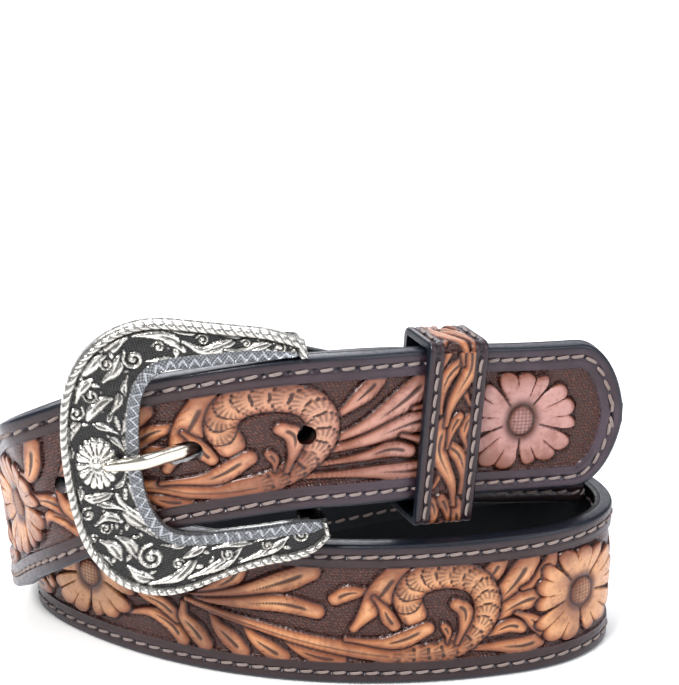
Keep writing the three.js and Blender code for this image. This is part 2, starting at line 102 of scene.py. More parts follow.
# Strap route: one leather strap runs from the fold at the buckle's bar twice round the coil and
# out through the buckle to its tip, standing on its lower edge. The rows repeat the route of the
# solids: x, y and z as shares of the coil's length and depth and of the strap's width, then the
# strap layers that the row lies outward.
COIL_LONG = 160.0
COIL_DEEP = 80.0
STRAP_WIDTH = 38.1
STRAP_THICK = 4.5
LAYER_GAP = 0.3
FOLD_SCALE = 0.6
FOLD_TAPER = 30.0
TIP_LENGTH = 13.5
BUCKLE_LEAN = math.radians(5.0)
ROUTE = np.array([
    (-.0444, .0275, 1.262, 0), (.0613, .1038, 1.207, 0), (.1588, .1850, 1.100, 0),
    (.2587, .2575, 1.010, 0), (.3375, .3050, .963, 0), (.3875, .3800, .887, 0),
    (.3600, .4987, .816, 0), (.2781, .5875, .724, 0), (.1375, .6838, .549, 0),
    (-.0387, .7625, .315, 0), (-.2131, .8075, .105, 0), (-.3500, .8137, .010, 0),
    (-.4494, .7625, 0, 0), (-.4975, .6775, 0, 0), (-.5175, .5825, 0, 0),
    (-.5000, .4850, 0, 0), (-.4289, .3496, 0, .2), (-.3218, .2195, 0, .45),
    (-.1593, .1003, 0, .75), (.0879, .0525, 0, 1), (.2382, .0894, 0, 1),
    (.3623, .1922, 0, 1), (.3954, .2853, 0, 1), (.3907, .4077, 0, 1),
    (.3508, .5227, 0, 1), (.2724, .6050, 0, 1), (.1304, .7149, 0, 1),
    (-.0425, .7884, 0, 1), (-.2156, .8327, .010, 1), (-.3615, .8403, .047, 1),
    (-.4737, .7830, .110, 1), (-.5161, .6976, .163, 1), (-.5263, .5659, .210, 1),
    (-.5079, .4019, .310, 1), (-.4679, .2238, .564, 1), (-.3952, .0522, .882, 1),
    (-.2752, .0046, 1.144, 1), (-.1690, -.0013, 1.241, 1), (-.0626, .0166, 1.289, 1),
    (.0189, .0638, 1.265, 1), (.1111, .1455, 1.223, 1), (.2264, .2346, 1.165, 1),
    (.3534, .3020, 1.134, 1), (.4299, .3349, 1.129, 1)])
ROUTE_SHIFT = np.array([10.382, -29.9285, 0.0])
UPRIGHT_AT = 80
UPRIGHT_SPAN = 24
UPRIGHT_SHARE = 0.85
MID = STRAP_WIDTH / 2
BUCKLE_UP = np.array([-math.sin(BUCKLE_LEAN), 0, math.cos(BUCKLE_LEAN)])


def unit(v):
    return v / np.linalg.norm(v, axis=-1, keepdims=True)


def ease(t):
    t = np.clip(t, 0, 1)
    return t * t * (3 - 2 * t)


def run_along(points):
    """Distance along a line at each of its points."""
    return np.concatenate([[0], np.cumsum(np.linalg.norm(np.diff(points, axis=0), axis=1))])


def natural_spline(rows):
    """Natural cubic through rows, by chord length: a function of distance, and the length."""
    at = run_along(rows)
    n = len(rows)
    h = np.diff(at)
    left = np.eye(n)
    right = np.zeros_like(rows)
    for i in range(1, n - 1):
        left[i, i - 1], left[i, i], left[i, i + 1] = h[i - 1], 2 * (h[i - 1] + h[i]), h[i]
        right[i] = 6 * ((rows[i + 1] - rows[i]) / h[i] - (rows[i] - rows[i - 1]) / h[i - 1])
    bend = np.linalg.solve(left, right)

    def point(s):
        s = np.asarray(s, float)
        i = np.clip(np.searchsorted(at, s, side="right") - 1, 0, n - 2)
        a = ((at[i + 1] - s) / h[i])[..., None]
        b = ((s - at[i]) / h[i])[..., None]
        curve = (a ** 3 - a) * bend[i] + (b ** 3 - b) * bend[i + 1]
        return a * rows[i] + b * rows[i + 1] + curve * (h[i] ** 2)[..., None] / 6
    return point, at[-1]


flat_rows = ROUTE[:, :3] * (COIL_LONG, COIL_DEEP, STRAP_WIDTH)
ahead = flat_rows[np.minimum(np.arange(len(ROUTE)) + 1, len(ROUTE) - 1)]
back = flat_rows[np.maximum(np.arange(len(ROUTE)) - 1, 0)]
step_xy = ahead[:, :2] - back[:, :2]
outward = ROUTE[:, 3] * (STRAP_THICK + LAYER_GAP) / np.hypot(step_xy[:, 0], step_xy[:, 1])
flat_rows[:, 0] += step_xy[:, 1] * outward
flat_rows[:, 1] -= step_xy[:, 0] * outward
route_point, ROUTE_LENGTH = natural_spline(flat_rows)


def station(s):
    """Lower edge point, run direction, up and outward directions at distances along the strap."""
    def place(q):
        p = route_point(np.clip(q, 0, ROUTE_LENGTH))
        p[..., 2] = np.maximum(p[..., 2], 0)
        return p
    s = np.asarray(s, float)
    p = place(s)
    t = unit(place(s + 0.5) - place(s - 0.5))
    upright = UPRIGHT_SHARE * np.exp(-((s - UPRIGHT_AT) / UPRIGHT_SPAN) ** 2)
    own = unit(np.array([0, 0, 1.0]) - t * (t[..., 2] * (1 - upright))[..., None])
    blend = ease(s / FOLD_TAPER)[..., None]
    up = unit(BUCKLE_UP * (1 - blend) + own * blend)
    n = unit(np.cross(t, up))
    return p + ROUTE_SHIFT, np.cross(up, n), up, n


def station_at(s):
    return [x[0] for x in station(np.array([s]))]


def tip_half(left):
    """Half width of the strap, as a share, a distance from its tip."""
    share = np.clip(left / TIP_LENGTH, 0, 1)
    return np.where(share >= 1, 1.0, np.maximum(0.12, (1 - (1 - share) ** 2.3) ** 0.62))


def ply_scale(s):
    return FOLD_SCALE + (1 - FOLD_SCALE) * ease(np.asarray(s, float) / FOLD_TAPER)


# Tooling: western flowers, leaf sprays and shell swirls, carved and bevelled into the damp leather
# by hand before it was dyed. Each run of the pattern is laid out flat in millimetres and pressed
# into a fine height map of its own, and the strap's face then takes its relief from the map.
CELL = 0.1
FIELD_HALF = 13.2
CUT_REACH = 0.55
SHOULDER = 0.245
CREASE_DEEP = 0.42
FLOWER_RADIUS = 12.9
FLOWER_TURN = 0.3
PETALS = 5
SPRAY_FROM = 12
SWIRL_DRAWN = 83
BRANCH_ROOM = 45.0


def smooth_line(points, count):
    """Points along a rounded line through a few control points."""
    pts = np.array(points, float)
    ends = np.vstack([2 * pts[0] - pts[1], pts, 2 * pts[-1] - pts[-2]])
    out = []
    per = max(2, count // (len(pts) - 1))
    for i in range(len(pts) - 1):
        p0, p1, p2, p3 = ends[i:i + 4]
        for k in range(per):
            t = k / per
            out.append(0.5 * (2 * p1 + (p2 - p0) * t + (2 * p0 - 5 * p1 + 4 * p2 - p3) * t ** 2
                              + (3 * p1 - p0 - 3 * p2 + p3) * t ** 3))
    out.append(pts[-1])
    return np.array(out)


class Relief:
    """A flat patch that shapes are carved into: height, distance to a cut, crease, shell marks and painted
    shade.
    """

    def __init__(self, u0, u1, v0, v1):
        self.u0, self.v0 = u0, v0
        self.nu, self.nv = int((u1 - u0) / CELL) + 2, int((v1 - v0) / CELL) + 2
        self.height = np.zeros((self.nu, self.nv))
        self.rim = np.full((self.nu, self.nv), -2.0)
        self.crease = np.zeros((self.nu, self.nv))
        self.shell = np.zeros((self.nu, self.nv))

    def window(self, lo, hi, pad):
        i0 = max(0, int((lo[0] - pad - self.u0) / CELL))
        j0 = max(0, int((lo[1] - pad - self.v0) / CELL))
        i1 = min(self.nu, int((hi[0] + pad - self.u0) / CELL) + 2)
        j1 = min(self.nv, int((hi[1] + pad - self.v0) / CELL) + 2)
        if i1 <= i0 or j1 <= j0:
            return None
        u = self.u0 + CELL * np.arange(i0, i1)[:, None] + np.zeros((1, j1 - j0))
        v = self.v0 + CELL * np.arange(j0, j1)[None, :] + np.zeros((i1 - i0, 1))
        return (slice(i0, i1), slice(j0, j1)), u, v

    def press(self, win, d, top, bevel=0.55):
        """Lays a shape with distance d inside its outline over what is there, with a bevel round it."""
        h, r, c, sh = self.height[win], self.rim[win], self.crease[win], self.shell[win]
        inside = d > 0
        near = (d <= 0) & (d > -2.0)
        h[near] -= bevel * np.exp(d[near] / CUT_REACH) * (0.4 + 0.6 * ease((h[near] + 0.6) / 0.8))
        r[near] = np.where(r[near] > 0, np.minimum(r[near], -d[near]), np.maximum(r[near], d[near]))
        c[near] *= 1 - np.exp(d[near] / 0.3)
        h[inside] = top[inside] * (1 - np.exp(-d[inside] / SHOULDER))
        r[inside] = d[inside]
        c[inside] = 0
        sh[inside] = 0

    def lobe(self, points, wide, root=0.35, peak=0.72, top=0.62, crease=True, tip=0.85):
        """A leaf lobe: narrow at its root, widest near a round tip, with a pressed crease inside."""
        line = smooth_line(points, 44)
        t = np.linspace(0, 1, len(line))
        w = wide * np.where(t < peak, root + (1 - root) * ease(t / peak),
                            1 - (1 - tip) * ease((t - peak) / (1 - peak)))
        got = self.window(line.min(0), line.max(0), wide + 2)
        if got is None:
            return
        win, u, v = got
        gap = np.full(u.shape, -9.0)
        dist = np.full(u.shape, 9.0)
        which = np.zeros(u.shape)
        for k, (a, b) in enumerate(line):
            q = np.hypot(u - a, v - b)
            better = w[k] - q > gap
            gap[better] = (w[k] - q)[better]
            closer = q < dist
            dist[closer] = q[closer]
            which[closer] = t[k]
        self.press(win, gap, top + 0.16 * ease(gap / wide))
        if crease:
            along = ease((which - 0.3) / 0.2) * ease((0.97 - which) / 0.12)
            thin = 0.24 + 0.3 * wide / 2.2 * ease((which - 0.35) / 0.5)
            mark = along * np.exp(-(dist / thin) ** 2) * (gap > 0)
            run = which * run_along(line)[-1]
            nick = np.abs(np.mod(run + 1.5 * dist, 2.3) - 1.15)
            nick = np.exp(-(nick / 0.26) ** 2) * ease((dist / wide - 0.4) / 0.2) * ease((gap - 0.3) / 0.3)
            mark = np.maximum(mark, 0.75 * nick * along * (wide > 1.4))
            self.height[win] -= CREASE_DEEP * mark
            self.crease[win] = np.maximum(self.crease[win], mark)

    def band(self, points, wide, first, pitch, top=0.66):
        """A stem that swells into a run of scalloped shells, each with fine fanned marks."""
        line = smooth_line(points, 150)
        run = run_along(line)
        w = np.interp(run, [0, run[-1] * 0.3, run[-1] * 0.62, run[-1] * 0.9, run[-1]],
                      np.array([0.28, 0.62, 0.95, 1.12, 1.0]) * wide)
        got = self.window(line.min(0), line.max(0), wide * 1.2 + 2)
        if got is None:
            return
        win, u, v = got
        gap = np.full(u.shape, -9.0)
        dist = np.full(u.shape, 99.0)
        side = np.zeros(u.shape)
        at = np.zeros(u.shape)
        turn = np.gradient(line, axis=0)
        turn /= np.linalg.norm(turn, axis=1)[:, None]
        for k, (a, b) in enumerate(line):
            du, dv = u - a, v - b
            q = np.hypot(du, dv)
            better = w[k] - q > gap
            gap[better] = (w[k] - q)[better]
            closer = q < dist
            dist[closer] = q[closer]
            side[closer] = (-du * turn[k, 1] + dv * turn[k, 0])[closer]
            at[closer] = run[k]
        here = np.interp(at, run, w)
        body = top + 0.12 * ease(gap / wide)
        start = run[-1] * first
        cup = at - start + 0.55 * side ** 2 / np.maximum(here, 0.5)
        phase = np.mod(cup, pitch) / pitch
        shells = at > start
        scallop = np.where(shells, 0.34 * phase ** 0.8, 0.2)
        self.press(win, gap, body - 0.3 + scallop)
        edge = np.exp(-((np.minimum(phase, 1 - phase) * pitch) / 0.34) ** 2) * shells * (gap > 0)
        fan = np.sin(side / (0.45 + 0.8 * phase) * 2 * math.pi / 1.05) * 0.5 + 0.5
        fan *= ease((phase - 0.25) / 0.25) * shells * (gap > 0.3)
        self.height[win] -= 0.34 * edge + 0.16 * fan
        self.crease[win] = np.maximum(self.crease[win], edge)
        self.shell[win] = np.maximum(self.shell[win], fan)
        ridge = (~shells) * (gap > 0) * np.exp(-((side + 0.25 * here) / 0.32) ** 2) * ease(at / 8)
        self.height[win] -= 0.22 * ridge
        self.crease[win] = np.maximum(self.crease[win], 0.7 * ridge)

    def bloom(self, u, v, radius, turn):
        """An open flower: ruffled petals with pressed folds round a seeded centre."""
        win, x, y = self.window((u - radius, v - radius), (u + radius, v + radius), 5.2)
        x, y = (x - u) / 1.15, y - v
        r = np.hypot(x, y)
        w = np.arctan2(y, x) + turn
        split = np.abs(np.sin(w * PETALS / 2))
        fold = np.sin(w * PETALS * 1.5 + 0.4)
        reach = radius * (0.80 + 0.12 * ease(split * 2.6) + 0.13 * np.abs(fold) ** 0.6
                          - 0.34 * np.exp(-(split / 0.09) ** 2))
        reach *= 0.98 + 0.05 * np.cos(4 * w - 4 * turn + 3.1) + 0.05 * np.sin(3 * w + 1)
        d = (reach - r) * 0.86
        out = r / radius
        self.press(win, d, 0.36 + 0.55 * ease((out - 0.3) / 0.55) - 0.12 * np.cos(w * PETALS))
        depth = np.exp(-(fold * r / 7.5 / (0.05 + 0.11 * out)) ** 2)
        fade = ease((out - 0.5 - 0.12 * np.sin(w * 7)) / 0.16) * ease((1.02 - r / reach) / 0.08)
        mark = depth * fade * (d > 0)
        vein = np.exp(-(np.sin(w * PETALS * 3 + 0.9) * r / 15 / 0.022) ** 2)
        vein *= ease((out - 0.36) / 0.1) * ease((0.8 - out) / 0.1) * (d > 0)
        mark = np.maximum(mark, 0.5 * vein)
        seam = np.exp(-(np.sin(w * PETALS / 2) * r / 2.5 / 0.32) ** 2) * ease((out - 0.3) / 0.1) * (d > 0)
        self.height[win] -= 0.62 * mark + 0.45 * seam
        self.crease[win] = np.maximum(self.crease[win], np.maximum(0.9 * mark, seam))
        eye = np.hypot(x / 3.1, y / 4.0)
        ring = (1 - eye) * 3.3
        self.press(win, ring, np.full(ring.shape, 0.62) + 0.2 * ease(ring / 2), bevel=0.45)
        # A painted shade ring darkens the petals round the seeded centre.
        self.shell[win] = np.maximum(self.shell[win], 0.8 * np.exp(-((eye - 1.2) / 0.3) ** 2) * (eye > 1))
        seeds = np.abs(np.sin(x * math.pi / 0.95) * np.sin(y * math.pi / 0.95)) * (ring > 0.2)
        self.height[win] -= 0.3 * (1 - seeds) * (ring > 0.2)
        self.shell[win] = np.where(ring > 0.2, 1 - seeds, self.shell[win])


def tooled_tile(length, swirl):
    """One repeat of the pattern: a flower at its start, a leaf spray, a shell swirl and branches."""
    tile = Relief(-15, length + 15, -FIELD_HALF, FIELD_HALF)
    stretch = (swirl - 2 * SPRAY_FROM) / (SWIRL_DRAWN - 2 * SPRAY_FROM)
    room = (length - swirl) / BRANCH_ROOM

    def spray(points):
        return [(SPRAY_FROM + (u - SPRAY_FROM) * stretch, v) for u, v in points]

    def curl(points):
        return [(u - SWIRL_DRAWN + swirl, v) for u, v in points]

    def branch(points):
        return [(swirl + (u - SWIRL_DRAWN) * (room if u > 90 else 1), v) for u, v in points]

    for points, wide in (
            ([(12, -8), (18, -6.0), (23, -8.0), (25.5, -11.6)], 2.5),
            ([(12, 2), (16, -1.0), (21, -2.6), (24.5, -5.6)], 2.2),
            ([(11, 7), (17, 4.6), (22, 7.0), (26, 11.8)], 2.6),
            ([(27, .5), (33, 4.6), (37, 8.0), (39, 12.0)], 2.5),
            ([(27, .8), (38, 4.0), (47, 8.2), (53, 11.6)], 3.1),
            ([(27, .2), (38, 1.4), (47, 2.4), (54, .8)], 2.7),
            ([(26, -1), (26, -5), (28.5, -8.4), (30.5, -11.6)], 2.8),
            ([(32, -2.4), (33.5, -6), (36, -9), (38.5, -12.1)], 2.8),
            ([(39, -4.5), (41, -7.8), (44, -10.4), (47, -12.4)], 2.6),
            ([(47, -7.4), (50, -10), (54, -11.8), (58.5, -12.6)], 2.1)):
        tile.lobe(spray(points), wide)
    for points, wide in (
            ([(66, 6.5), (61, 6.4), (57.5, 6.0), (54.5, 4.4)], 2.3),
            ([(59, -3.6), (62.5, 1.0), (66.0, 6.0), (70, 11.6)], 3.9),
            ([(64, 5), (66.2, 2.0), (67.5, -.8), (69.0, -3.0)], 2.1),
            ([(70, -12.6), (76, -13.0), (81, -13.0)], 1.5)):
        tile.lobe(curl(points), wide)
    for points, wide in (
            ([(91, 3.5), (94, 7), (96.5, 10.0), (98.5, 12.6)], 2.6),
            ([(91, -2), (98, 2.0), (104, 7.0), (108, 11.8)], 3.6),
            ([(90, -5), (98, -2.0), (106, 1.0), (112, 1.6)], 3.0),
            ([(89, -8), (97, -6.4), (102, -5.2), (106, -6.2)], 2.2),
            ([(88, -10.5), (98, -10.6), (106, -11.3), (112, -10.6)], 2.6),
            ([(104, -2), (108, -3.6), (111, -5.8), (114, -8.4)], 2.2),
            ([(106, 4.6), (110, 5.6), (113, 7.6), (116, 11.6)], 2.3)):
        tile.lobe(branch(points), wide)
    stem = spray([(26.8, .2), (34.8, -2.4), (42, -4.4), (52.9, -7.6)])
    stem += curl([(63.8, -10.2), (74.7, -11.2), (84, -9.6), (90.4, -4), (92, 2.2), (89, 8.0), (81.9, 10.4),
                  (75.0, 9.0), (72.2, 4.4), (73.6, 0)])
    tile.band(stem, wide=3.5, first=0.45, pitch=3.5)
    for points, wide in (
            ([(84.5, -8.6), (86.2, -3.8), (86.4, .2), (84.2, 2.2)], 2.2),
            ([(82.0, -8.2), (82.2, -5.5), (81.2, -3.6)], 1.4),
            ([(57, -6.6), (66, -7.6), (71, -6.8), (77.0, -4.0)], 2.5)):
        tile.lobe(curl(points), wide)
    for u in (0, length):
        tile.bloom(u, 0, FLOWER_RADIUS, FLOWER_TURN)
    return tile


FLOWERS = [7.0, 140.0, 273.0, 405.0, 530.9, 656.8, 787.0]
SWIRLS = [82.0, 82.0, 97.0, 78.0, 78.0, 70.0]
tiles = []
for first, second, swirl in zip(FLOWERS[:-1], FLOWERS[1:], SWIRLS):
    tiles.append((first, second, tooled_tile(second - first, swirl)))


def tooling(s, v):
    """Height in millimetres, distance to a cut, crease, and shell marks with painted shade on the strap's
    field.
    """
    height, rim = np.zeros(s.shape), np.full(s.shape, -2.0)
    crease, shell = np.zeros(s.shape), np.zeros(s.shape)
    for k, (first, second, tile) in enumerate(tiles):
        lo = first if k else -1e9
        hi = second if k < len(tiles) - 1 else 1e9
        m = (s >= lo) & (s < hi)
        fu, fv = (s[m] - first - tile.u0) / CELL, (v[m] - tile.v0) / CELL
        ok = (fu >= 0) & (fu < tile.nu - 2) & (fv >= 0) & (fv < tile.nv - 2)
        i, j = fu[ok].astype(int), fv[ok].astype(int)
        a, b = fu[ok] - i, fv[ok] - j
        for out, grid in zip((height, rim, crease, shell), (tile.height, tile.rim, tile.crease, tile.shell)):
            part = out[m]
            part[ok] = ((grid[i, j] * (1 - a) + grid[i + 1, j] * a) * (1 - b)
                        + (grid[i, j + 1] * (1 - a) + grid[i + 1, j + 1] * a) * b)
            out[m] = part
    return height, rim, crease, shell


# Leather finish: oil-tanned leather, matted between the motifs, dyed tan on what stands up and
# dark brown in the cuts, with dark brown borders and a burnished blue-black edge, then sealed.
# The middle of each motif has a painted highlight, and toward the tip the motifs and borders
# take a painted lilac sheen.
def add_node(tree, kind, **values):
    node = tree.nodes.new(kind)
    for key, value in values.items():
        if key.startswith("_"):
            node.inputs[key[1:].replace("_", " ")].default_value = value
        else:
            setattr(node, key, value)
    return node


def maths(tree, operation, a, b=None, clamp=False):
    node = add_node(tree, "ShaderNodeMath", operation=operation, use_clamp=clamp)
    for k, x in enumerate((a, b)):
        if x is None:
            continue
        if isinstance(x, (int, float)):
            node.inputs[k].default_value = x
        else:
            tree.links.new(x, node.inputs[k])
    return node.outputs[0]


def spread(tree, value, lo, hi, to_lo=0.0, to_hi=1.0):
    node = add_node(tree, "ShaderNodeMapRange", interpolation_type="SMOOTHSTEP")
    tree.links.new(value, node.inputs["Value"])
    for key, x in (("From Min", lo), ("From Max", hi), ("To Min", to_lo), ("To Max", to_hi)):
        node.inputs[key].default_value = x
    return node.outputs["Result"]


def mix(tree, factor, a, b, how="MIX"):
    node = add_node(tree, "ShaderNodeMix", data_type="RGBA", blend_type=how)
    if isinstance(factor, (int, float)):
        node.inputs[0].default_value = factor
    else:
        tree.links.new(factor, node.inputs[0])
    for k, x in ((6, a), (7, b)):
        if isinstance(x, tuple):
            node.inputs[k].default_value = (*x, 1)
        else:
            tree.links.new(x, node.inputs[k])
    return node.outputs[2]


def leather_grain():
    """Fine pores and slow dye clouds for leather, as a height, a cloud mask and a speck mask."""
    group = bpy.data.node_groups.new("leather_grain", "ShaderNodeTree")
    group.interface.new_socket("Vector", in_out="INPUT", socket_type="NodeSocketVector")
    group.interface.new_socket("Pore Scale", in_out="INPUT", socket_type="NodeSocketFloat")
    for name in ("Height", "Cloud", "Speck"):
        group.interface.new_socket(name, in_out="OUTPUT", socket_type="NodeSocketFloat")
    into = group.nodes.new("NodeGroupInput")
    out = group.nodes.new("NodeGroupOutput")
    pores = add_node(group, "ShaderNodeTexVoronoi", feature="DISTANCE_TO_EDGE")
    fine = add_node(group, "ShaderNodeTexNoise", _Scale=2600.0, _Detail=3.0)
    cloud = add_node(group, "ShaderNodeTexNoise", _Scale=70.0, _Detail=4.0, _Roughness=0.6)
    speck = add_node(group, "ShaderNodeTexNoise", _Scale=900.0, _Detail=2.0)
    for node in (pores, fine, cloud, speck):
        group.links.new(into.outputs["Vector"], node.inputs["Vector"])
    group.links.new(into.outputs["Pore Scale"], pores.inputs["Scale"])
    edge = spread(group, pores.outputs["Distance"], 0.0, 0.12)
    group.links.new(maths(group, "ADD", edge, maths(group, "MULTIPLY", fine.outputs["Fac"], 0.6)),
                    out.inputs["Height"])
    group.links.new(cloud.outputs["Fac"], out.inputs["Cloud"])
    group.links.new(speck.outputs["Fac"], out.inputs["Speck"])
    return group


grain_group = leather_grain()


def grain_in(tree, scale):
    coords = add_node(tree, "ShaderNodeTexCoord")
    group = add_node(tree, "ShaderNodeGroup", node_tree=grain_group)
    group.inputs["Pore Scale"].default_value = scale
    tree.links.new(coords.outputs["Object"], group.inputs["Vector"])
    return group


def new_finish(name, roughness, metallic=0.0):
    material = bpy.data.materials.new(name)
    material.use_nodes = True
    shader = material.node_tree.nodes["Principled BSDF"]
    shader.inputs["Roughness"].default_value = roughness
    shader.inputs["Metallic"].default_value = metallic
    return material, material.node_tree, shader


def attribute(tree, name):
    return add_node(tree, "ShaderNodeAttribute", attribute_name=name).outputs["Fac"]


def bumped(tree, height, strength, distance, under=None):
    """Normal of a surface with a fine height on it, and on another fine height under that."""
    bump = add_node(tree, "ShaderNodeBump", _Strength=strength, _Distance=distance)
    tree.links.new(height, bump.inputs["Height"])
    if under is not None:
        tree.links.new(under, bump.inputs["Normal"])
    return bump.outputs["Normal"]


def rubbed(tree, shader, grain, lo, hi):
    """Roughness that wanders between two values in small specks."""
    tree.links.new(spread(tree, grain.outputs["Speck"], 0.35, 0.7, lo, hi), shader.inputs["Roughness"])


# The palest tan is a painted highlight on the crest of each motif.
TAN_PAINTED_HIGHLIGHT = (0.80, 0.44, 0.22)
TAN_LIGHT = (0.55, 0.225, 0.085)
TAN_DEEP = (0.21, 0.066, 0.028)
# A painted lilac sheen for the motifs toward the tip.
ROSE_PAINTED_SHEEN = (0.52, 0.29, 0.27)
CUT_DARK = (0.045, 0.014, 0.009)
GROUND_BROWN = (0.15, 0.052, 0.032)
# A painted lilac sheen for the borders toward the tip; elsewhere the borders are dark brown.
BORDER_PAINTED_SHEEN = (0.070, 0.043, 0.058)
BORDER_BROWN = (0.040, 0.018, 0.017)
EDGE_INK = (0.010, 0.014, 0.022)


def tooled_leather(name):
    material, tree, shader = new_finish(name, 0.42)
    rim, crease, shell = (attribute(tree, k) for k in ("rim", "crease", "shell"))
    border, ink, cool = (attribute(tree, k) for k in ("border", "ink", "cool"))
    grain = grain_in(tree, 1500.0)
    # Painted highlight: the tan pales far inside each motif, away from its cuts.
    light = mix(tree, spread(tree, rim, 0.8, 2.2, 0, 0.75), TAN_LIGHT, TAN_PAINTED_HIGHLIGHT)
    # A painted lilac sheen tints the motifs toward the tip.
    light = mix(tree, maths(tree, "MULTIPLY", cool, 0.85), light, ROSE_PAINTED_SHEEN)
    raised = mix(tree, spread(tree, rim, 0.1, 1.3), TAN_DEEP, light)
    raised = mix(tree, spread(tree, grain.outputs["Cloud"], 0.45, 0.66, 0, 0.7), raised, TAN_DEEP)
    raised = mix(tree, spread(tree, grain.outputs["Speck"], 0.5, 0.75, 0, 0.35), raised, TAN_DEEP)
    raised = mix(tree, maths(tree, "MULTIPLY", attribute(tree, "shade"), 0.7), raised, TAN_DEEP)
    # Shell marks and the seeded centre go dark, with the painted shade ring round each flower's centre.
    raised = mix(tree, maths(tree, "MULTIPLY", shell, 0.7), raised, CUT_DARK)
    uv = add_node(tree, "ShaderNodeUVMap", uv_map="flat")
    beads = add_node(tree, "ShaderNodeTexVoronoi", feature="F1", _Scale=1.0, _Randomness=0.45)
    tree.links.new(uv.outputs["UV"], beads.inputs["Vector"])
    bead = spread(tree, beads.outputs["Distance"], 0.18, 0.62, 1.0, 0.0)
    ground = mix(tree, bead, CUT_DARK, GROUND_BROWN)
    is_motif = spread(tree, rim, -0.12, 0.12)
    field = mix(tree, is_motif, ground, raised)
    near_cut = spread(tree, maths(tree, "ABSOLUTE", rim), 0.05, 0.5, 0.95, 0.0)
    field = mix(tree, near_cut, field, CUT_DARK)
    field = mix(tree, spread(tree, crease, 0.15, 0.85, 0, 0.9), field, CUT_DARK)
    # The borders take the painted lilac sheen toward the tip.
    band = mix(tree, cool, BORDER_BROWN, BORDER_PAINTED_SHEEN)
    band = mix(tree, spread(tree, grain.outputs["Cloud"], 0.42, 0.66, 0, 0.6), band, (0.022, 0.009, 0.009))
    colour = mix(tree, border, field, band)
    colour = mix(tree, ink, colour, EDGE_INK)
    # The needle holes are painted dark as shade, and the stitch groove is darkened at half strength.
    colour = mix(tree, attribute(tree, "needle"), colour, EDGE_INK)
    tree.links.new(colour, shader.inputs["Base Color"])
    matted = maths(tree, "MULTIPLY", bead, maths(tree, "SUBTRACT", 1.0, is_motif, True))
    matted = maths(tree, "MULTIPLY", matted, maths(tree, "SUBTRACT", 1.0, border, True))
    ground_normal = bumped(tree, matted, 0.9, 0.00035)
    tree.links.new(bumped(tree, grain.outputs["Height"], 0.25, 0.00008, ground_normal), shader.inputs["Normal"])
    rubbed(tree, shader, grain, 0.30, 0.46)
    shader.inputs["Coat Weight"].default_value = 0.4
    shader.inputs["Coat Roughness"].default_value = 0.24
    shader.inputs["Coat Tint"].default_value = (0.86, 0.86, 1.0, 1)
    return material


strap_finish = tooled_leather("tooled_leather")


# Tooled strap: the outer ply of vegetable-tanned leather, cut to a blunt tip, with a stitched plain
# border round the carved field. It is laid flat row by row and carried round the coil, in four
# lengths so that each stays light, and its holes are punched last.
OUTER_PLY = 3.05
EDGE_ROUND = 0.9
BORDER_WIDE = 6.0
BORDER_STEPS = np.array([0, .12, .35, .7, 1.3, 2.2, 2.55, 2.9, 3.1, 3.3, 3.65, 4.0, 4.8, 5.4, 5.7, 6.0, 6.2])
STITCH_IN = 3.1
STITCH_PITCH = 4.1
FIELD_SUNK = 0.62
STRAP_BEAD = 0.82
tip_s = np.linspace(ROUTE_LENGTH - TIP_LENGTH, ROUTE_LENGTH, 160)
tip_outline = np.stack([tip_s, MID * tip_half(ROUTE_LENGTH - tip_s)], axis=1)
tip_outline = np.vstack([tip_outline, [[ROUTE_LENGTH, 0.0]]])


def edge_gap(s, v):
    """Distance in from the strap's outline, at the tip too."""
    gap = MID - np.abs(v)
    m = s > ROUTE_LENGTH - TIP_LENGTH - 8
    near = np.full(m.sum(), 99.0)
    a, b = tip_outline[:-1], tip_outline[1:]
    ab = b - a
    q = np.stack([s[m], np.abs(v[m])], axis=1)
    for k in range(len(a)):
        t = np.clip(((q - a[k]) @ ab[k]) / max(1e-9, ab[k] @ ab[k]), 0, 1)
        near = np.minimum(near, np.hypot(*(q - a[k] - t[:, None] * ab[k]).T))
    gap[m] = np.minimum(gap[m], near)
    return np.maximum(gap, 0)


def build_mesh(name, verts, faces, layers=None, uv=None):
    """A piece from points in millimetres, with its layers of values and its flat pattern's place."""
    mesh = bpy.data.meshes.new(name)
    mesh.from_pydata((verts.reshape(-1, 3) * MM).tolist(), [], faces)
    for key, values in (layers or {}).items():
        mesh.attributes.new(key, "FLOAT", "POINT").data.foreach_set("value", values.astype(np.float32))
    if uv is not None:
        index = np.empty(len(mesh.loops), np.int32)
        mesh.loops.foreach_get("vertex_index", index)
        flat = uv.reshape(-1, 2)[index].astype(np.float32)
        mesh.uv_layers.new(name="flat").data.foreach_set("uv", flat.ravel())
    mesh.validate()
    piece = bpy.data.objects.new(name, mesh)
    bpy.context.scene.collection.objects.link(piece)
    return piece


def choose(piece):
    bpy.ops.object.select_all(action="DESELECT")
    piece.select_set(True)
    bpy.context.view_layer.objects.active = piece


def smooth_shaded(piece, angle):
    choose(piece)
    bpy.ops.object.shade_smooth_by_angle(angle=math.radians(angle))
    piece.select_set(False)


def stand_for(piece, node, angle):
    """Shades a finished piece and puts it in the place of a node of the solids."""
    smooth_shaded(piece, angle)
    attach(piece, "root")
    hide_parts(node)


def tube_faces(rows, per, closed=False):
    """Faces round a swept section, capped at both ends, or joined end to start where closed."""
    i = np.arange(rows - 1)[:, None] * per
    k = np.arange(per)[None, :]
    n = (k + 1) % per
    faces = np.stack([i + k, i + per + k, i + per + n, i + n], axis=-1).reshape(-1, 4).tolist()
    last = (rows - 1) * per
    if closed:
        return faces + [[last + k, k, (k + 1) % per, last + (k + 1) % per] for k in range(per)]
    return faces + [list(range(per)), list(range(last, last + per))[::-1]]


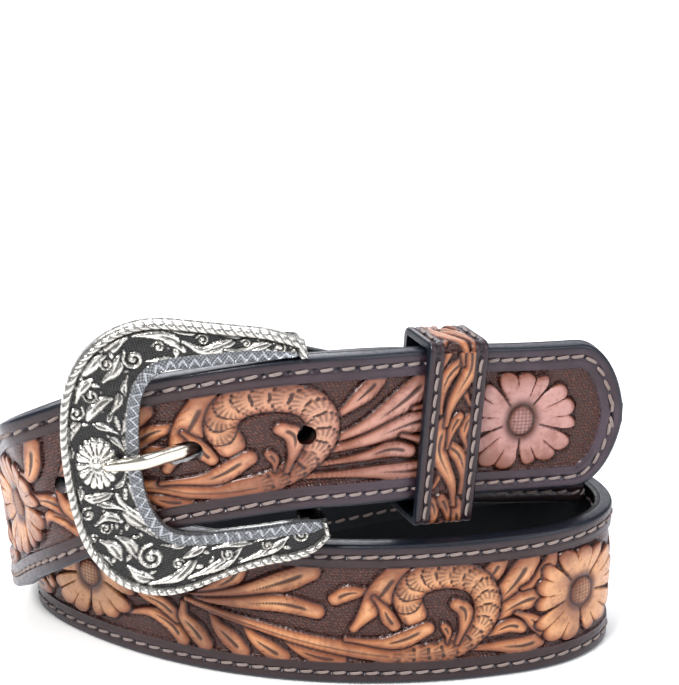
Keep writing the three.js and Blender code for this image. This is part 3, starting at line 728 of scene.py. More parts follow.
def face_layer(values, per, behind=0.0):
    """A layer with values on each row's face and one value on the points behind it."""
    grid = np.full((len(values), per), float(behind))
    grid[:, :values.shape[1]] = values
    return grid.ravel()


def face_uv(along, across, per, bead):
    uv = np.zeros((len(along), per, 2))
    uv[:, :along.shape[1], 0] = (along + 0.5 * across) / bead
    uv[:, :along.shape[1], 1] = across / bead
    return uv


def needle_marks(along, gap, line_in, size):
    """One pricked hole for each end of a stitch."""
    to_hole = np.abs(np.mod(along / STITCH_PITCH + 0.5, 1) - 0.5) * STITCH_PITCH
    return np.exp(-(to_hole / size) ** 2) * np.exp(-((gap - line_in) / size) ** 2)


def rounded_edge(gap, radius):
    return radius * (1 - np.sqrt(1 - np.clip(1 - gap / radius, 0, 1) ** 2))


def strap_length(name, s0, s1, step, cross):
    """A length of the outer ply: its face cut row by row, and two points behind each row."""
    rows = int(round((s1 - s0) / step)) + 1
    s = np.linspace(s0, s1, rows)
    inner = np.arange(-MID + BORDER_WIDE + 0.4, MID - BORDER_WIDE - 0.39, cross)
    v = np.concatenate([-MID + BORDER_STEPS, inner, (MID - BORDER_STEPS)[::-1]])
    half = tip_half(ROUTE_LENGTH - s)
    ss, vv = np.meshgrid(s, v, indexing="ij")
    vv = vv * half[:, None]
    shape = ss.shape
    fs, fv = ss.ravel(), vv.ravel()
    gap = edge_gap(fs, fv)
    carved, rim, crease, shell = tooling(fs, fv)
    live = ease((fs - 14) / 16)
    into = ease((gap - BORDER_WIDE + 0.15) / 0.5) * live
    height = into * (np.clip(carved, -0.7, 1.0) - FIELD_SUNK)
    groove = np.exp(-((gap - STITCH_IN) / 0.55) ** 2)
    height -= 0.32 * groove + 0.22 * np.exp(-((gap - BORDER_WIDE + 0.5) / 0.22) ** 2) * live
    height -= rounded_edge(gap, EDGE_ROUND)
    needle = needle_marks(fs, gap, STITCH_IN, 0.42)
    height -= 0.5 * needle
    p, t, up, n = station(s)
    thick = ply_scale(s)
    scale = np.repeat(thick, shape[1])
    base = np.repeat(p, shape[1], axis=0)
    ups, ns = np.repeat(up, shape[1], axis=0), np.repeat(n, shape[1], axis=0)
    front = base + ups * (MID + fv)[:, None] + ns * (height * scale)[:, None]
    rear = [p + up * (MID + x * half * MID)[:, None] - n * (OUTER_PLY * thick)[:, None] for x in (1, -1)]
    per = shape[1] + 2
    verts = np.concatenate([front.reshape(rows, shape[1], 3), rear[0][:, None], rear[1][:, None]], axis=1)
    # From 690 mm along, a painted lilac sheen fades in over 90 mm.
    layers = {key: face_layer(values.reshape(shape), per, behind) for key, values, behind in (
        ("rim", rim, -2), ("crease", crease * into, 0), ("shell", shell * into, 0),
        ("border", 1 - into, 1), ("ink", 1 - ease((gap - 0.25) / 1.5), 1),
        ("shade", 1 - ease((gap - BORDER_WIDE) / 5.0), 0), ("cool", ease((fs - 690) / 90), 0),
        ("needle", np.maximum(needle, 0.5 * groove), 0))}
    uv = face_uv(ss, vv, per, STRAP_BEAD)
    uv[:, shape[1]:, 0] = s[:, None] / STRAP_BEAD
    piece = build_mesh(name, verts, tube_faces(rows, per), layers, uv)
    piece.data.materials.append(strap_finish)
    return piece


FINE = 0.3
strap_pieces = [
    strap_length("strap_inner_turn", 0, 251, 0.8, 0.6),
    strap_length("strap_front_ring", 251, 439, FINE, FINE),
    strap_length("strap_back_ring", 439, 627, FINE, FINE),
    strap_length("strap_front_run", 627, ROUTE_LENGTH, FINE, FINE)]


# Belt holes: one row down the middle, a punch apart. Each is punched clean through both leathers,
# and the one in use is pulled long by the prong. The return end has a slot for the prong's loop.
HOLE_PITCH = 25.4
USED_HOLE_AT = 707.06
HOLE_RADIUS = 2.3
USED_LONG = 9.2
USED_HIGH = 5.2
FOLD_RADIUS = 2.0 + 0.35 + STRAP_THICK * FOLD_SCALE
start_p, start_t, start_up, start_n = station_at(0.0)
bar_mid = start_p - start_n * FOLD_RADIUS + start_up * MID


def in_frame(points, x, y, z, at):
    return points[:, :1] * x + points[:, 1:2] * y + points[:, 2:3] * z + at


def rod(radius, long, x, y, z, at, pull=0.0):
    """A rod along z with its middle at a place, pulled oval along x by a length."""
    bpy.ops.mesh.primitive_cylinder_add(vertices=48, radius=radius, depth=long)
    piece = bpy.context.object
    co = np.array([v.co for v in piece.data.vertices])
    co[:, 0] += np.sign(co[:, 0]) * pull / 2 * (np.abs(co[:, 0]) > 1e-4)
    piece.data.vertices.foreach_set("co", (in_frame(co, x, y, z, at) * MM).ravel())
    piece.data.update()
    return piece


def punch(s, long, high):
    """A round-ended cutter through the strap at a distance along it."""
    p, t, up, n = station_at(s)
    return rod(high / 2, 12, t, up, n, p + up * MID - n * 2.0, long - high)


def cut_out(piece, cutters):
    choose(cutters[0])
    for cutter in cutters[1:]:
        cutter.select_set(True)
    if len(cutters) > 1:
        bpy.ops.object.join()
    choose(piece)
    hole = piece.modifiers.new("holes", "BOOLEAN")
    hole.operation = "DIFFERENCE"
    hole.solver = "EXACT"
    hole.object = cutters[0]
    bpy.ops.object.modifier_apply(modifier=hole.name)


def hole_cutters():
    round_holes = [punch(USED_HOLE_AT + k * HOLE_PITCH, HOLE_RADIUS * 2, HOLE_RADIUS * 2) for k in (1, -1)]
    return round_holes + [punch(USED_HOLE_AT, USED_LONG, USED_HIGH)]


cutters = hole_cutters()
cut_out(strap_pieces[3], cutters)
bpy.data.objects.remove(cutters[0])
for piece in strap_pieces:
    stand_for(piece, "tooled_strap", 50)


# Fold: the strap's buckle end is pared thin, turned round the bar and laid back on itself inside,
# out of sight behind the front run. It is plain dyed leather with the same inked edges.
RETURN_LENGTH = 17.0
RETURN_TURN = 0.1
RETURN_STEPS = 8
TURN_STEPS = 36


def fold_frames():
    """Places and directions along the return leg and round the bar, as station() gives them."""
    bar_low = start_p - start_n * FOLD_RADIUS
    rows = []
    for q in np.linspace(math.pi + RETURN_TURN, 0, TURN_STEPS):
        n = start_n * math.cos(q) - start_t * math.sin(q)
        t = start_n * math.sin(q) + start_t * math.cos(q)
        rows.append((bar_low + n * FOLD_RADIUS, t, start_up, n))
    at, way, *rest = rows[0]
    leg = [(at - way * RETURN_LENGTH * (1 - k / RETURN_STEPS), way, *rest) for k in range(RETURN_STEPS)]
    return [np.array(column) for column in zip(*(leg + rows))]


def plain_ply(name, finish, frames, thick, half, near, far, rounds):
    """A smooth ply between two depths: rounds are the edge radii at its near and far side."""
    p, t, up, n = frames
    first, last = rounds
    cut = [(first, near), (first * 0.3, near + first * 0.3), (0, near + first),
           (0, far - last), (last * 0.3, far - last * 0.3), (last, far)]
    ring = [(-1, *c) for c in cut] + [(1, *c) for c in cut[::-1]]
    rows = []
    for sign, inset, depth in ring:
        side = MID + sign * (MID - inset) * half
        rows.append(p + up * side[:, None] - n * (depth * thick)[:, None])
    verts = np.stack(rows, axis=1)
    per, count = len(ring), len(p)
    faces = [face[::-1] for face in tube_faces(count, per)]
    layers = {"rim": np.full(count * per, -2.0), "border": np.ones(count * per),
              "ink": np.tile([1.0 if 0 < k < per - 1 else 0.0 for k in range(per)], count)}
    piece = build_mesh(name, verts, faces, layers, np.zeros((count, per, 2)))
    piece.data.materials.append(finish)
    outward_faces(piece)
    return piece


def outward_faces(piece):
    choose(piece)
    bpy.ops.object.mode_set(mode="EDIT")
    bpy.ops.mesh.select_all(action="SELECT")
    bpy.ops.mesh.normals_make_consistent(inside=False)
    bpy.ops.object.mode_set(mode="OBJECT")


def slot_cutter():
    """A rod round the bar that cuts the slot for the prong's loop."""
    return rod(FOLD_RADIUS + 0.25, 6.5, start_t, -start_n, start_up, bar_mid)


fold = fold_frames()
fold_thick = np.full(len(fold[0]), FOLD_SCALE)
fold_half = np.ones(len(fold[0]))
fold_half[:RETURN_STEPS] = np.linspace(0.66, 0.98, RETURN_STEPS)
fold_ply = plain_ply("strap_fold", strap_finish, fold, fold_thick, fold_half, 0.0, OUTER_PLY, (0.6, 0.1))
slot_tool = slot_cutter()
cut_out(fold_ply, [slot_tool])
cut_out(strap_pieces[0], [slot_tool])
bpy.data.objects.remove(slot_tool)
stand_for(fold_ply, "tooled_strap", 40)


# Lining: a thin smooth black hide glued to the back of the strap and stitched through it. Its cut
# edge is sanded flush, inked blue-black with the strap's own edge, and burnished to a gloss.
def smooth_hide(name, colour, worn, roughness):
    material, tree, shader = new_finish(name, roughness)
    grain = grain_in(tree, 1900.0)
    shade = mix(tree, spread(tree, grain.outputs["Cloud"], 0.4, 0.72), colour, worn)
    tree.links.new(shade, shader.inputs["Base Color"])
    tree.links.new(bumped(tree, grain.outputs["Height"], 0.3, 0.0001), shader.inputs["Normal"])
    rubbed(tree, shader, grain, roughness - 0.07, roughness + 0.08)
    shader.inputs["Coat Weight"].default_value = 0.12
    shader.inputs["Coat Roughness"].default_value = 0.25
    shader.inputs["Specular IOR Level"].default_value = 0.35
    return material


lining_finish = smooth_hide("lining_leather", (0.005, 0.007, 0.012), (0.012, 0.016, 0.026), 0.42)
LINING_FROM = 3.12
lining_s = np.concatenate([np.arange(0, ROUTE_LENGTH - TIP_LENGTH, 1.2),
                           ROUTE_LENGTH - TIP_LENGTH * (1 - np.linspace(0, 1, 36) ** 0.7)])[1:]
lining_frames = [np.vstack([a, b]) for a, b in zip(fold, station(lining_s))]
lining_thick = np.concatenate([fold_thick, ply_scale(lining_s)])
lining_half = np.concatenate([fold_half, tip_half(ROUTE_LENGTH - lining_s)])
lining = plain_ply("strap_lining", lining_finish, lining_frames, lining_thick, lining_half,
                   LINING_FROM, STRAP_THICK, (0.05, 0.75))
for tools in (hole_cutters(), [slot_cutter()]):
    cut_out(lining, tools)
    bpy.data.objects.remove(tools[0])
stand_for(lining, "lining", 40)


# Stitches: waxed linen thread in a single even row along each border and round the tip, worked
# from hole to hole through both leathers, so that the same row shows on the lining.
def waxed_thread():
    material, tree, shader = new_finish("waxed_thread", 0.62)
    uv = add_node(tree, "ShaderNodeUVMap", uv_map="flat")
    wave = add_node(tree, "ShaderNodeTexWave", wave_type="BANDS", bands_direction="DIAGONAL", _Scale=2.4)
    tree.links.new(uv.outputs["UV"], wave.inputs["Vector"])
    grain = grain_in(tree, 2400.0)
    shade = mix(tree, wave.outputs["Fac"], (0.17, 0.12, 0.11), (0.50, 0.43, 0.41))
    shade = mix(tree, spread(tree, grain.outputs["Cloud"], 0.45, 0.75, 0, 0.4), shade, (0.30, 0.20, 0.16))
    tree.links.new(shade, shader.inputs["Base Color"])
    tree.links.new(bumped(tree, wave.outputs["Fac"], 0.6, 0.0001), shader.inputs["Normal"])
    return material


thread_finish = waxed_thread()
STITCH_LONG = 3.3
STITCH_FAT = 0.44
STITCH_SIDES = 6


def stitch_shape():
    """One stitch along x, its ends dipping into the needle holes."""
    ends = np.array([-1, -0.86, -0.5, 0, 0.5, 0.86, 1.0])
    fat = np.array([0.35, 0.8, 1.0, 1.0, 1.0, 0.8, 0.35])
    dip = np.array([-0.42, -0.16, 0, 0.05, 0, -0.16, -0.42])
    w = np.arange(STITCH_SIDES) * 2 * math.pi / STITCH_SIDES
    rings = [np.stack([np.full(STITCH_SIDES, x * STITCH_LONG / 2), STITCH_FAT * f * np.cos(w),
                       z + STITCH_FAT * 0.75 * f * np.sin(w)], axis=1) for x, f, z in zip(ends, fat, dip)]
    return np.vstack(rings), tube_faces(len(ends), STITCH_SIDES)


def sew(name, places):
    """Stitches at places, each an origin and three directions in millimetres."""
    shape, faces = stitch_shape()
    verts, all_faces, uv = [], [], []
    for k, (at, x, y, z) in enumerate(places):
        verts.append(in_frame(shape, x, y, z, at))
        all_faces += [[i + k * len(shape) for i in face] for face in faces]
        uv.append(np.stack([shape[:, 0], np.arange(len(shape)) % STITCH_SIDES / 3.0], axis=1))
    piece = build_mesh(name, np.vstack(verts), all_faces, None, np.vstack(uv))
    piece.data.materials.append(thread_finish)
    outward_faces(piece)
    smooth_shaded(piece, 60)
    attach(piece, "root")
    return piece


def border_line():
    """Middle and heading of each stitch on the flat strap, along both borders and round the tip."""
    last = int((ROUTE_LENGTH - TIP_LENGTH - 4) / STITCH_PITCH)
    out = [((k + 0.5) * STITCH_PITCH, side * (MID - STITCH_IN), 0.0)
           for side in (-1, 1) for k in range(1, last)]
    before = last * STITCH_PITCH - 6
    edge = np.vstack([[[before, MID]], tip_outline[:-1], (tip_outline[:-1] * (1, -1))[::-1], [[before, -MID]]])
    way = unit(np.gradient(edge, axis=0))
    line = edge - np.stack([-way[:, 1], way[:, 0]], axis=1) * STITCH_IN
    line = line[(MID - np.abs(line[:, 1]) > STITCH_IN - 0.05) & (line[:, 0] < ROUTE_LENGTH - STITCH_IN + 0.1)]
    run = run_along(line)
    first = np.interp(last * STITCH_PITCH, line[:60, 0], run[:60])
    span = run[-1] - 2 * first
    count = max(1, int(round(span / STITCH_PITCH)))
    for k in range(count):
        q = first + span * (k + 0.5) / count
        s, v = np.interp(q, run, line[:, 0]), np.interp(q, run, line[:, 1])
        ds, dv = [np.interp(q + 1, run, line[:, c]) - np.interp(q - 1, run, line[:, c]) for c in (0, 1)]
        out.append((s, v, math.atan2(dv, ds)))
    return out


def strap_stitches(name, depth, facing, slant):
    places = []
    for s, v, turn in border_line():
        p, t, up, n = station_at(s)
        turn += slant
        x = t * math.cos(turn) + up * math.sin(turn)
        y = up * math.cos(turn) - t * math.sin(turn)
        lay = p + up * (MID + v) + n * (depth * float(ply_scale(s)))
        places.append((lay, x, y * facing, n * facing))
    return sew(name, places)


front_stitches = strap_stitches("strap_stitches_front", -0.06, 1, 0.12)
back_stitches = strap_stitches("strap_stitches_back", -STRAP_THICK - 0.1, -1, -0.12)


# Keeper: a narrow loop of the same tooled leather that holds the free end down on the strap. It is
# one strip with stitched borders and a carved scroll, bent square round both runs and joined inside.
KEEPER_AT = 766.56
KEEPER_WIDTH = 15.6
KEEPER_WALL = 2.0
KEEPER_CLEAR = 0.45
KEEPER_TILT = -0.03
KEEPER_DEPTH = 9.206
KEEPER_DROP = -3.101
KEEPER_ROUND = 2.4
KEEPER_STITCH_IN = 2.1
KEEPER_BORDER = 3.6
KEEPER_BEAD = 0.75
KEEPER_STEPS = np.array([0, .1, .3, .6, 1.0, 1.5, 1.85, 2.1, 2.35, 2.7, 3.2, 3.5, 3.8])
SCROLL_REPEAT = 21.0
keeper_p, keeper_t, keeper_up, keeper_n = station_at(KEEPER_AT)
keeper_n0 = KEEPER_CLEAR + 0.5
keeper_n1 = -KEEPER_DEPTH - KEEPER_CLEAR - 0.6
keeper_b0 = KEEPER_DROP - KEEPER_CLEAR - 0.8
keeper_b1 = STRAP_WIDTH + KEEPER_CLEAR + 0.1


def keeper_rim(grow, rounding, step):
    """Loop of points round the keeper with their outward headings, from the front's top corner."""
    hi_n, lo_n = keeper_n0 + grow - rounding, keeper_n1 - grow + rounding
    hi_b, lo_b = keeper_b1 + grow - rounding, keeper_b0 - grow + rounding
    corners = [(hi_n, hi_b, 0), (lo_n, hi_b, 1), (lo_n, lo_b, 2), (hi_n, lo_b, 3)]
    pts, nor = [], []
    for k, (cn, cb, q) in enumerate(corners):
        for w in np.linspace(q, q + 1, 9) * math.pi / 2:
            pts.append((cn + rounding * math.cos(w), cb + rounding * math.sin(w)))
            nor.append((math.cos(w), math.sin(w)))
        nn, nb, _ = corners[(k + 1) % 4]
        w = (q + 1) * math.pi / 2
        a = np.array(pts[-1])
        b = np.array((nn + rounding * math.cos(w), nb + rounding * math.sin(w)))
        for f in np.linspace(0, 1, max(3, int(np.hypot(*(b - a)) / step)))[1:-1]:
            pts.append(tuple(a + (b - a) * f))
            nor.append((math.cos(w), math.sin(w)))
    return np.array(pts), np.array(nor)


def keeper_tile(length):
    tile = Relief(-4, length + 4, -5.2, 5.2)
    for k in range(-1, int(length / SCROLL_REPEAT) + 2):
        u = k * SCROLL_REPEAT
        flip = 1 if k % 2 else -1
        for points, wide in (([(0, -3.6), (5, -3.9), (10, -2.2), (13, 1.6)], 1.5),
                             ([(2, 3.9), (6, 2.0), (9.5, 2.4), (11.5, 4.2)], 1.4),
                             ([(11, -4.6), (15, -3.0), (18, -3.4), (20, -5.0)], 1.3),
                             ([(-3, -2.0), (3, -.8), (11, 3.2), (18, 2.6)], 1.75),
                             ([(12, 1.2), (17, .2), (20, -1.4)], 1.2)):
            tile.lobe([(u + a, b * flip) for a, b in points], wide * 1.35)
    return tile


def keeper_point(q, x):
    """A place on the keeper from its section point and the way across it."""
    return (keeper_p + keeper_n * q[..., :1] + keeper_up * q[..., 1:2]
            + keeper_t * (x + KEEPER_TILT * (q[..., 1] - MID))[..., None])


rim_pts, rim_nor = keeper_rim(KEEPER_WALL, KEEPER_ROUND, FINE)
rim_run = run_along(rim_pts)
rim_length = rim_run[-1] + np.hypot(*(rim_pts[0] - rim_pts[-1]))
inner_pts, _ = keeper_rim(0, 0.8, FINE)
inner_loop = np.vstack([inner_pts, inner_pts[:1]])
inner_run = run_along(inner_loop)
inner_run /= inner_run[-1]
across = np.concatenate([KEEPER_STEPS, np.arange(4.1, KEEPER_WIDTH - 4.05, FINE),
                         KEEPER_WIDTH - KEEPER_STEPS[::-1]]) - KEEPER_WIDTH / 2
keeper_tooling = keeper_tile(rim_length)
uu, xx = np.meshgrid(rim_run, across, indexing="ij")
fu = np.clip((uu - keeper_tooling.u0) / CELL, 0, keeper_tooling.nu - 2).astype(int)
fv = np.clip((xx - keeper_tooling.v0) / CELL, 0, keeper_tooling.nv - 2).astype(int)
k_gap = KEEPER_WIDTH / 2 - np.abs(xx)
k_into = ease((k_gap - KEEPER_BORDER + 0.1) / 0.4)
k_needle = needle_marks(uu, k_gap, KEEPER_STITCH_IN, 0.4)
k_groove = np.exp(-((k_gap - KEEPER_STITCH_IN) / 0.5) ** 2)
k_height = k_into * (np.clip(keeper_tooling.height[fu, fv], -0.5, 0.9) * 0.8 - 0.5)
k_height -= 0.25 * k_groove + 0.4 * k_needle + rounded_edge(k_gap, 0.7)
loop_share = rim_run / rim_length
outer_q = rim_pts[:, None, :] + rim_nor[:, None, :] * k_height[..., None]
inner_q = np.stack([np.interp(loop_share, inner_run, inner_loop[:, c]) for c in (0, 1)], axis=1)
inside = [keeper_point(inner_q, np.full(len(inner_q), x)) for x in (KEEPER_WIDTH / 2, 0, -KEEPER_WIDTH / 2)]
keeper_verts = np.concatenate([keeper_point(outer_q, xx)] + [x[:, None] for x in inside], axis=1)
per = keeper_verts.shape[1]
# The keeper takes a tenth of the painted lilac sheen.
keeper_layers = {key: face_layer(values, per, behind) for key, values, behind in (
    ("rim", keeper_tooling.rim[fu, fv], -2), ("border", 1 - k_into, 1),
    ("crease", keeper_tooling.crease[fu, fv] * k_into, 0), ("ink", 1 - ease((k_gap - 0.15) / 0.6), 1),
    ("cool", np.full(uu.shape, 0.1), 0), ("shade", np.full(uu.shape, 0.1), 0),
    ("needle", np.maximum(k_needle, 0.5 * k_groove), 0))}
keeper = build_mesh("keeper_band", keeper_verts, tube_faces(len(rim_pts), per, closed=True), keeper_layers,
                    face_uv(uu, xx, per, KEEPER_BEAD))
keeper.data.materials.append(strap_finish)
outward_faces(keeper)
stand_for(keeper, "keeper", 50)

keeper_places = []
for k in range(int(rim_length / STITCH_PITCH)):
    at = (k + 0.5) * STITCH_PITCH
    q1, q, q2 = (np.array([np.interp(u, rim_run, rim_pts[:, c]) for c in (0, 1)]) for u in (at - 2, at, at + 2))
    turns_a_corner = np.abs(unit(q2 - q1)).max() < 0.995
    if turns_a_corner:
        continue
    for side in (-1, 1):
        x = side * (KEEPER_WIDTH / 2 - KEEPER_STITCH_IN)
        along = unit(keeper_point(q2, np.array(x)) - keeper_point(q1, np.array(x)))
        along = unit(along + keeper_t * 0.12)
        out = unit(np.cross(along, keeper_t))
        lay = keeper_point(q, np.array(x)) - out * 0.1
        keeper_places.append((lay, along, np.cross(out, along), out))
keeper_stitches = sew("keeper_stitches", keeper_places)


# Buckle frame: one casting of western floral silver, an open C with a roped rim, scrolls standing on
# a blackened ground, a pebbled zigzag band inside and a rosette on the rail. It is cast, then buffed.
FRAME_LONG = 59.5
OPENING_HIGH = 42.7
FRAME_THICK = 3.1
RIM_WIDE = 2.0
RIM_HIGH = 0.9
CHANNEL_DEEP = 0.5
ROPE_PITCH = 2.2
ZIGZAG_PITCH = 2.6
ROSETTE_AT = (-23.3, 0.4)
BUCKLE_AT = np.array([-32.8112, -7.13187, 66.40037]) + ROUTE_SHIFT
BUCKLE_ALONG = np.array([0.9876077, 0.1310162, 0.0864045])
BUCKLE_OUT = np.cross(BUCKLE_ALONG, BUCKLE_UP)
FRAME_TABLE = np.array([
    (.461, .529, .467, .447), (.334, .616, .321, .455), (.168, .679, .151, .466),
    (-.015, .745, -.020, .475), (-.108, .768, -.077, .476), (-.269, .735, -.139, .437),
    (-.393, .621, -.178, .361), (-.482, .403, -.203, .237), (-.518, .122, -.220, .066),
    (-.519, -.204, -.224, -.171), (-.479, -.511, -.198, -.340), (-.368, -.735, -.143, -.450),
    (-.215, -.829, -.055, -.492), (-.017, -.794, .091, -.506), (.213, -.740, .261, -.511),
    (.418, -.693, .420, -.518), (.474, -.623, .467, -.529)])
FRAME_TABLE = FRAME_TABLE * (FRAME_LONG, OPENING_HIGH, FRAME_LONG, OPENING_HIGH)
SILVER_BRIGHT = (0.80, 0.78, 0.74)
SILVER_DULL = (0.56, 0.54, 0.51)
SILVER_SHADED = (0.03, 0.03, 0.034)
BAND_GREY = (0.52, 0.54, 0.58)
RECESS_BLACK = (0.012, 0.012, 0.014)


def on_buckle(a, b, c):
    a, b, c = (np.asarray(x, float)[..., None] for x in (a, b, c))
    return BUCKLE_AT + BUCKLE_ALONG * a + BUCKLE_UP * b + BUCKLE_OUT * c


def cast_silver(name, antiqued):
    material, tree, shader = new_finish(name, 0.3, 1.0)
    grain = grain_in(tree, 900.0)
    silver = mix(tree, spread(tree, grain.outputs["Cloud"], 0.35, 0.75), SILVER_BRIGHT, SILVER_DULL)
    if antiqued:
        recess = attribute(tree, "recess")
        silver = mix(tree, attribute(tree, "band"), silver, BAND_GREY)
        silver = mix(tree, recess, silver, RECESS_BLACK)
        tree.links.new(spread(tree, recess, 0, 1, 1.0, 0.2), shader.inputs["Metallic"])
    else:
        # The plain silver of the hidden bar and lugs is darkened with painted shade.
        silver = mix(tree, 0.85, silver, SILVER_SHADED)
    tree.links.new(silver, shader.inputs["Base Color"])
    tree.links.new(bumped(tree, grain.outputs["Height"], 0.2, 0.00006), shader.inputs["Normal"])
    rubbed(tree, shader, grain, 0.2, 0.36)
    return material


def spiral(a, b, radius, start, turns):
    t = np.linspace(0, 1, 14)
    r = radius * (1 - 0.86 * t)
    w = start + turns * 2 * math.pi * t
    return list(zip(a + r * np.cos(w), b + r * np.sin(w)))


def silver_scrolls():
    """Relief of the casting in the buckle's own plane: stems, leaves, curls, then the rosette."""
    cast = Relief(-34, 32, -38, 36)
    cast.lobe([(-23.5, 24), (-20, 17.5), (-17.4, 10), (-16.6, 3), (-17.4, -5), (-19, -12), (-20.5, -18)], 0.8,
              root=0.9, tip=0.9, crease=False)
    leaves = (
        ([(-25, 20), (-22, 23.5), (-17, 27.0), (-12.6, 29.6)], 1.9), ([(-19, 20), (-16, 22.4),
        (-13.4, 26.6)], 1.6),
        ([(-11, 30), (-6, 29.4), (-2, 27.6), (0, 24.6)], 1.7), ([(-5, 31), (0, 29.6), (4.6, 27.8)], 1.1),
        ([(0, 26.8), (4, 24.2), (9, 24.6), (13, 26.2)], 1.5), ([(6, 28.0), (11, 26.9), (16, 25.6)], 0.9),
        ([(9, 23.6), (13, 22.6), (17, 23.2), (20, 23.4)], 1.2),
        ([(-25.6, 8.5), (-23.6, 12), (-20.4, 15), (-17.6, 15.6)], 1.5), ([(-29, 6), (-27.6, 9.4),
        (-25.0, 12)], 1.2),
        ([(-25.8, 16), (-24, 19), (-21.6, 20.8)], 1.3), ([(-19.6, 8.6), (-18.8, 11.4), (-17.2, 14)], 0.8),
        ([(-28.5, -6.6), (-25, -8.4), (-20.6, -7.4)], 1.5), ([(-20, -8), (-18.8, -12), (-16, -15.6),
        (-12.8, -19.0)], 1.8),
        ([(-26, -15), (-22.6, -13.2), (-19.8, -15.0)], 1.3), ([(-25.4, -19), (-22.8, -21),
        (-21.4, -24.6)], 1.6),
        ([(-21.6, -18.6), (-18.8, -21), (-17.6, -25)], 1.4), ([(-20, -26.6), (-17.8, -29.6),
        (-14, -31.6)], 1.5),
        ([(-15.6, -32), (-10, -31.6), (-6.6, -29.6), (-3.6, -26.4)], 1.7), ([(-8, -27), (-4.4, -25.6),
        (-1.6, -24.6)], 1.2),
        ([(-6.4, -32), (-1, -30.6), (3.6, -28.8), (7, -26)], 1.5), ([(0, -25.4), (5, -24.9),
        (9.5, -25.6)], 1.0),
        ([(6, -30), (11, -28.6), (15, -27.4), (18, -25.4)], 1.3), ([(10, -25.2), (14, -24.6),
        (18, -24.2)], 0.8))
    leaves += (
        ([(-18.6, 12), (-16.4, 14.5), (-15.4, 18)], 1.0), ([(-17.2, 6), (-15.5, 8.6), (-15.0, 11.6)], 0.8),
        ([(-17.4, -5), (-16.0, -8.6), (-15.0, -11.4)], 0.9), ([(-17.6, 7), (-20.4, 9), (-22.6, 10)], 1.0),
        ([(-19, -12), (-22, -10.4), (-24.6, -9.8)], 0.9), ([(-16.6, 2), (-18.2, 5), (-20, 6.8)], 0.8),
        ([(-17.2, -3), (-18.6, -5.4), (-21, -6.4)], 0.7), ([(-23, 25), (-21.6, 27.4), (-18.6, 29.2)], 1.1),
        ([(-28.6, -9), (-27.8, -4.6)], 0.8), ([(-28.8, 2), (-28.4, 5)], 0.7), ([(-26.6, -22),
        (-23.8, -25.6)], 0.9),
        ([(-11.6, -22.4), (-8, -23.4), (-5.4, -23.0)], 0.8), ([(-9, 23.4), (-5, 23.2), (-2, 22.6)], 0.8),
        ([(-13.4, 20.6), (-14.6, 18), (-14.6, 16)], 0.8), ([(-16.8, -17), (-14.2, -18.2),
        (-12.4, -20.4)], 0.8))
    for points, wide in leaves:
        line = smooth_line(points, 30)
        for k, side in ((9, 1), (13, -1), (17, 1), (21, -1)) if wide > 1 else ():
            along = unit(line[k + 1] - line[k - 1])
            across = np.array([-along[1], along[0]]) * side
            tip = line[k] + along * 1.5 * wide + across * 1.75 * wide
            cast.lobe([line[k], line[k] + along * 0.7 * wide + across * 0.7 * wide, tip], 0.55 * wide, root=0.6,
                      top=0.6, tip=0.5, crease=False)
        cast.lobe(points, wide * 1.05, root=0.3, peak=0.6, top=0.7, tip=0.35)
    curls = (
        (-11.5, 24.4, 2.5, 2.4, 1.3), (-26.2, 13.4, 1.9, 0.6, -1.2), (-22.2, 17.0, 1.7, 3.0, 1.2),
        (4.4, 26.6, 1.5, 2.6, -1.2), (21.3, 22.0, 1.8, 2.2, -1.3), (24.6, 20.9, 1.1, 2.2, -1.2),
        (-27.2, -12.0, 1.8, 1.2, 1.2), (-23.8, -16.0, 1.6, 0.3, -1.2), (-14.2, -25.2, 3.3, 1.5, 1.4),
        (3.5, -27.4, 1.5, 2.6, 1.2), (21.4, -25.2, 1.9, 2.8, 1.3), (-27.0, -18.4, 1.2, 0.6, 1.1),
        (-8.4, -28.0, 1.4, 0.4, 1.2), (13.0, -26.6, 1.2, 2.6, 1.2), (14.0, 24.3, 1.1, 2.6, -1.2),
        (-5.6, 26.4, 1.4, 2.8, -1.2), (-17.6, 24.0, 1.5, 2.6, 1.2), (-28.4, 9.6, 1.1, 0.2, -1.1))
    for a, b, radius, start, turns in curls:
        cast.lobe(spiral(a, b, radius, start, turns), 0.16 * radius + 0.16, root=0.8, top=0.74, tip=1.3,
                  crease=False)
    mid_a, mid_b = ROSETTE_AT
    win, a, b = cast.window((mid_a - 5.5, mid_b - 7.2), (mid_a + 5.5, mid_b + 7.2), 2)
    x, y = a - mid_a, b - mid_b
    r, w = np.hypot(x / 4.9, y / 6.6), np.arctan2(y / 6.6, x / 4.9)
    petal = np.abs(np.cos(w * 8))
    gap = (0.86 + 0.14 * np.sqrt(petal) - r) * 5.4
    cast.press(win, gap, 0.66 + 0.30 * r)
    seam = np.exp(-(np.cos(w * 8) * r * 4.6 / 8 / 0.14) ** 2) * (gap > 0) * ease((r - 0.28) / 0.1)
    cast.height[win] -= 0.5 * seam
    cast.crease[win] = np.maximum(cast.crease[win], seam)
    cast.press(win, (0.24 - np.hypot(x / 5.4, y / 5.4)) * 5.4, np.full(x.shape, 1.0))
    return cast


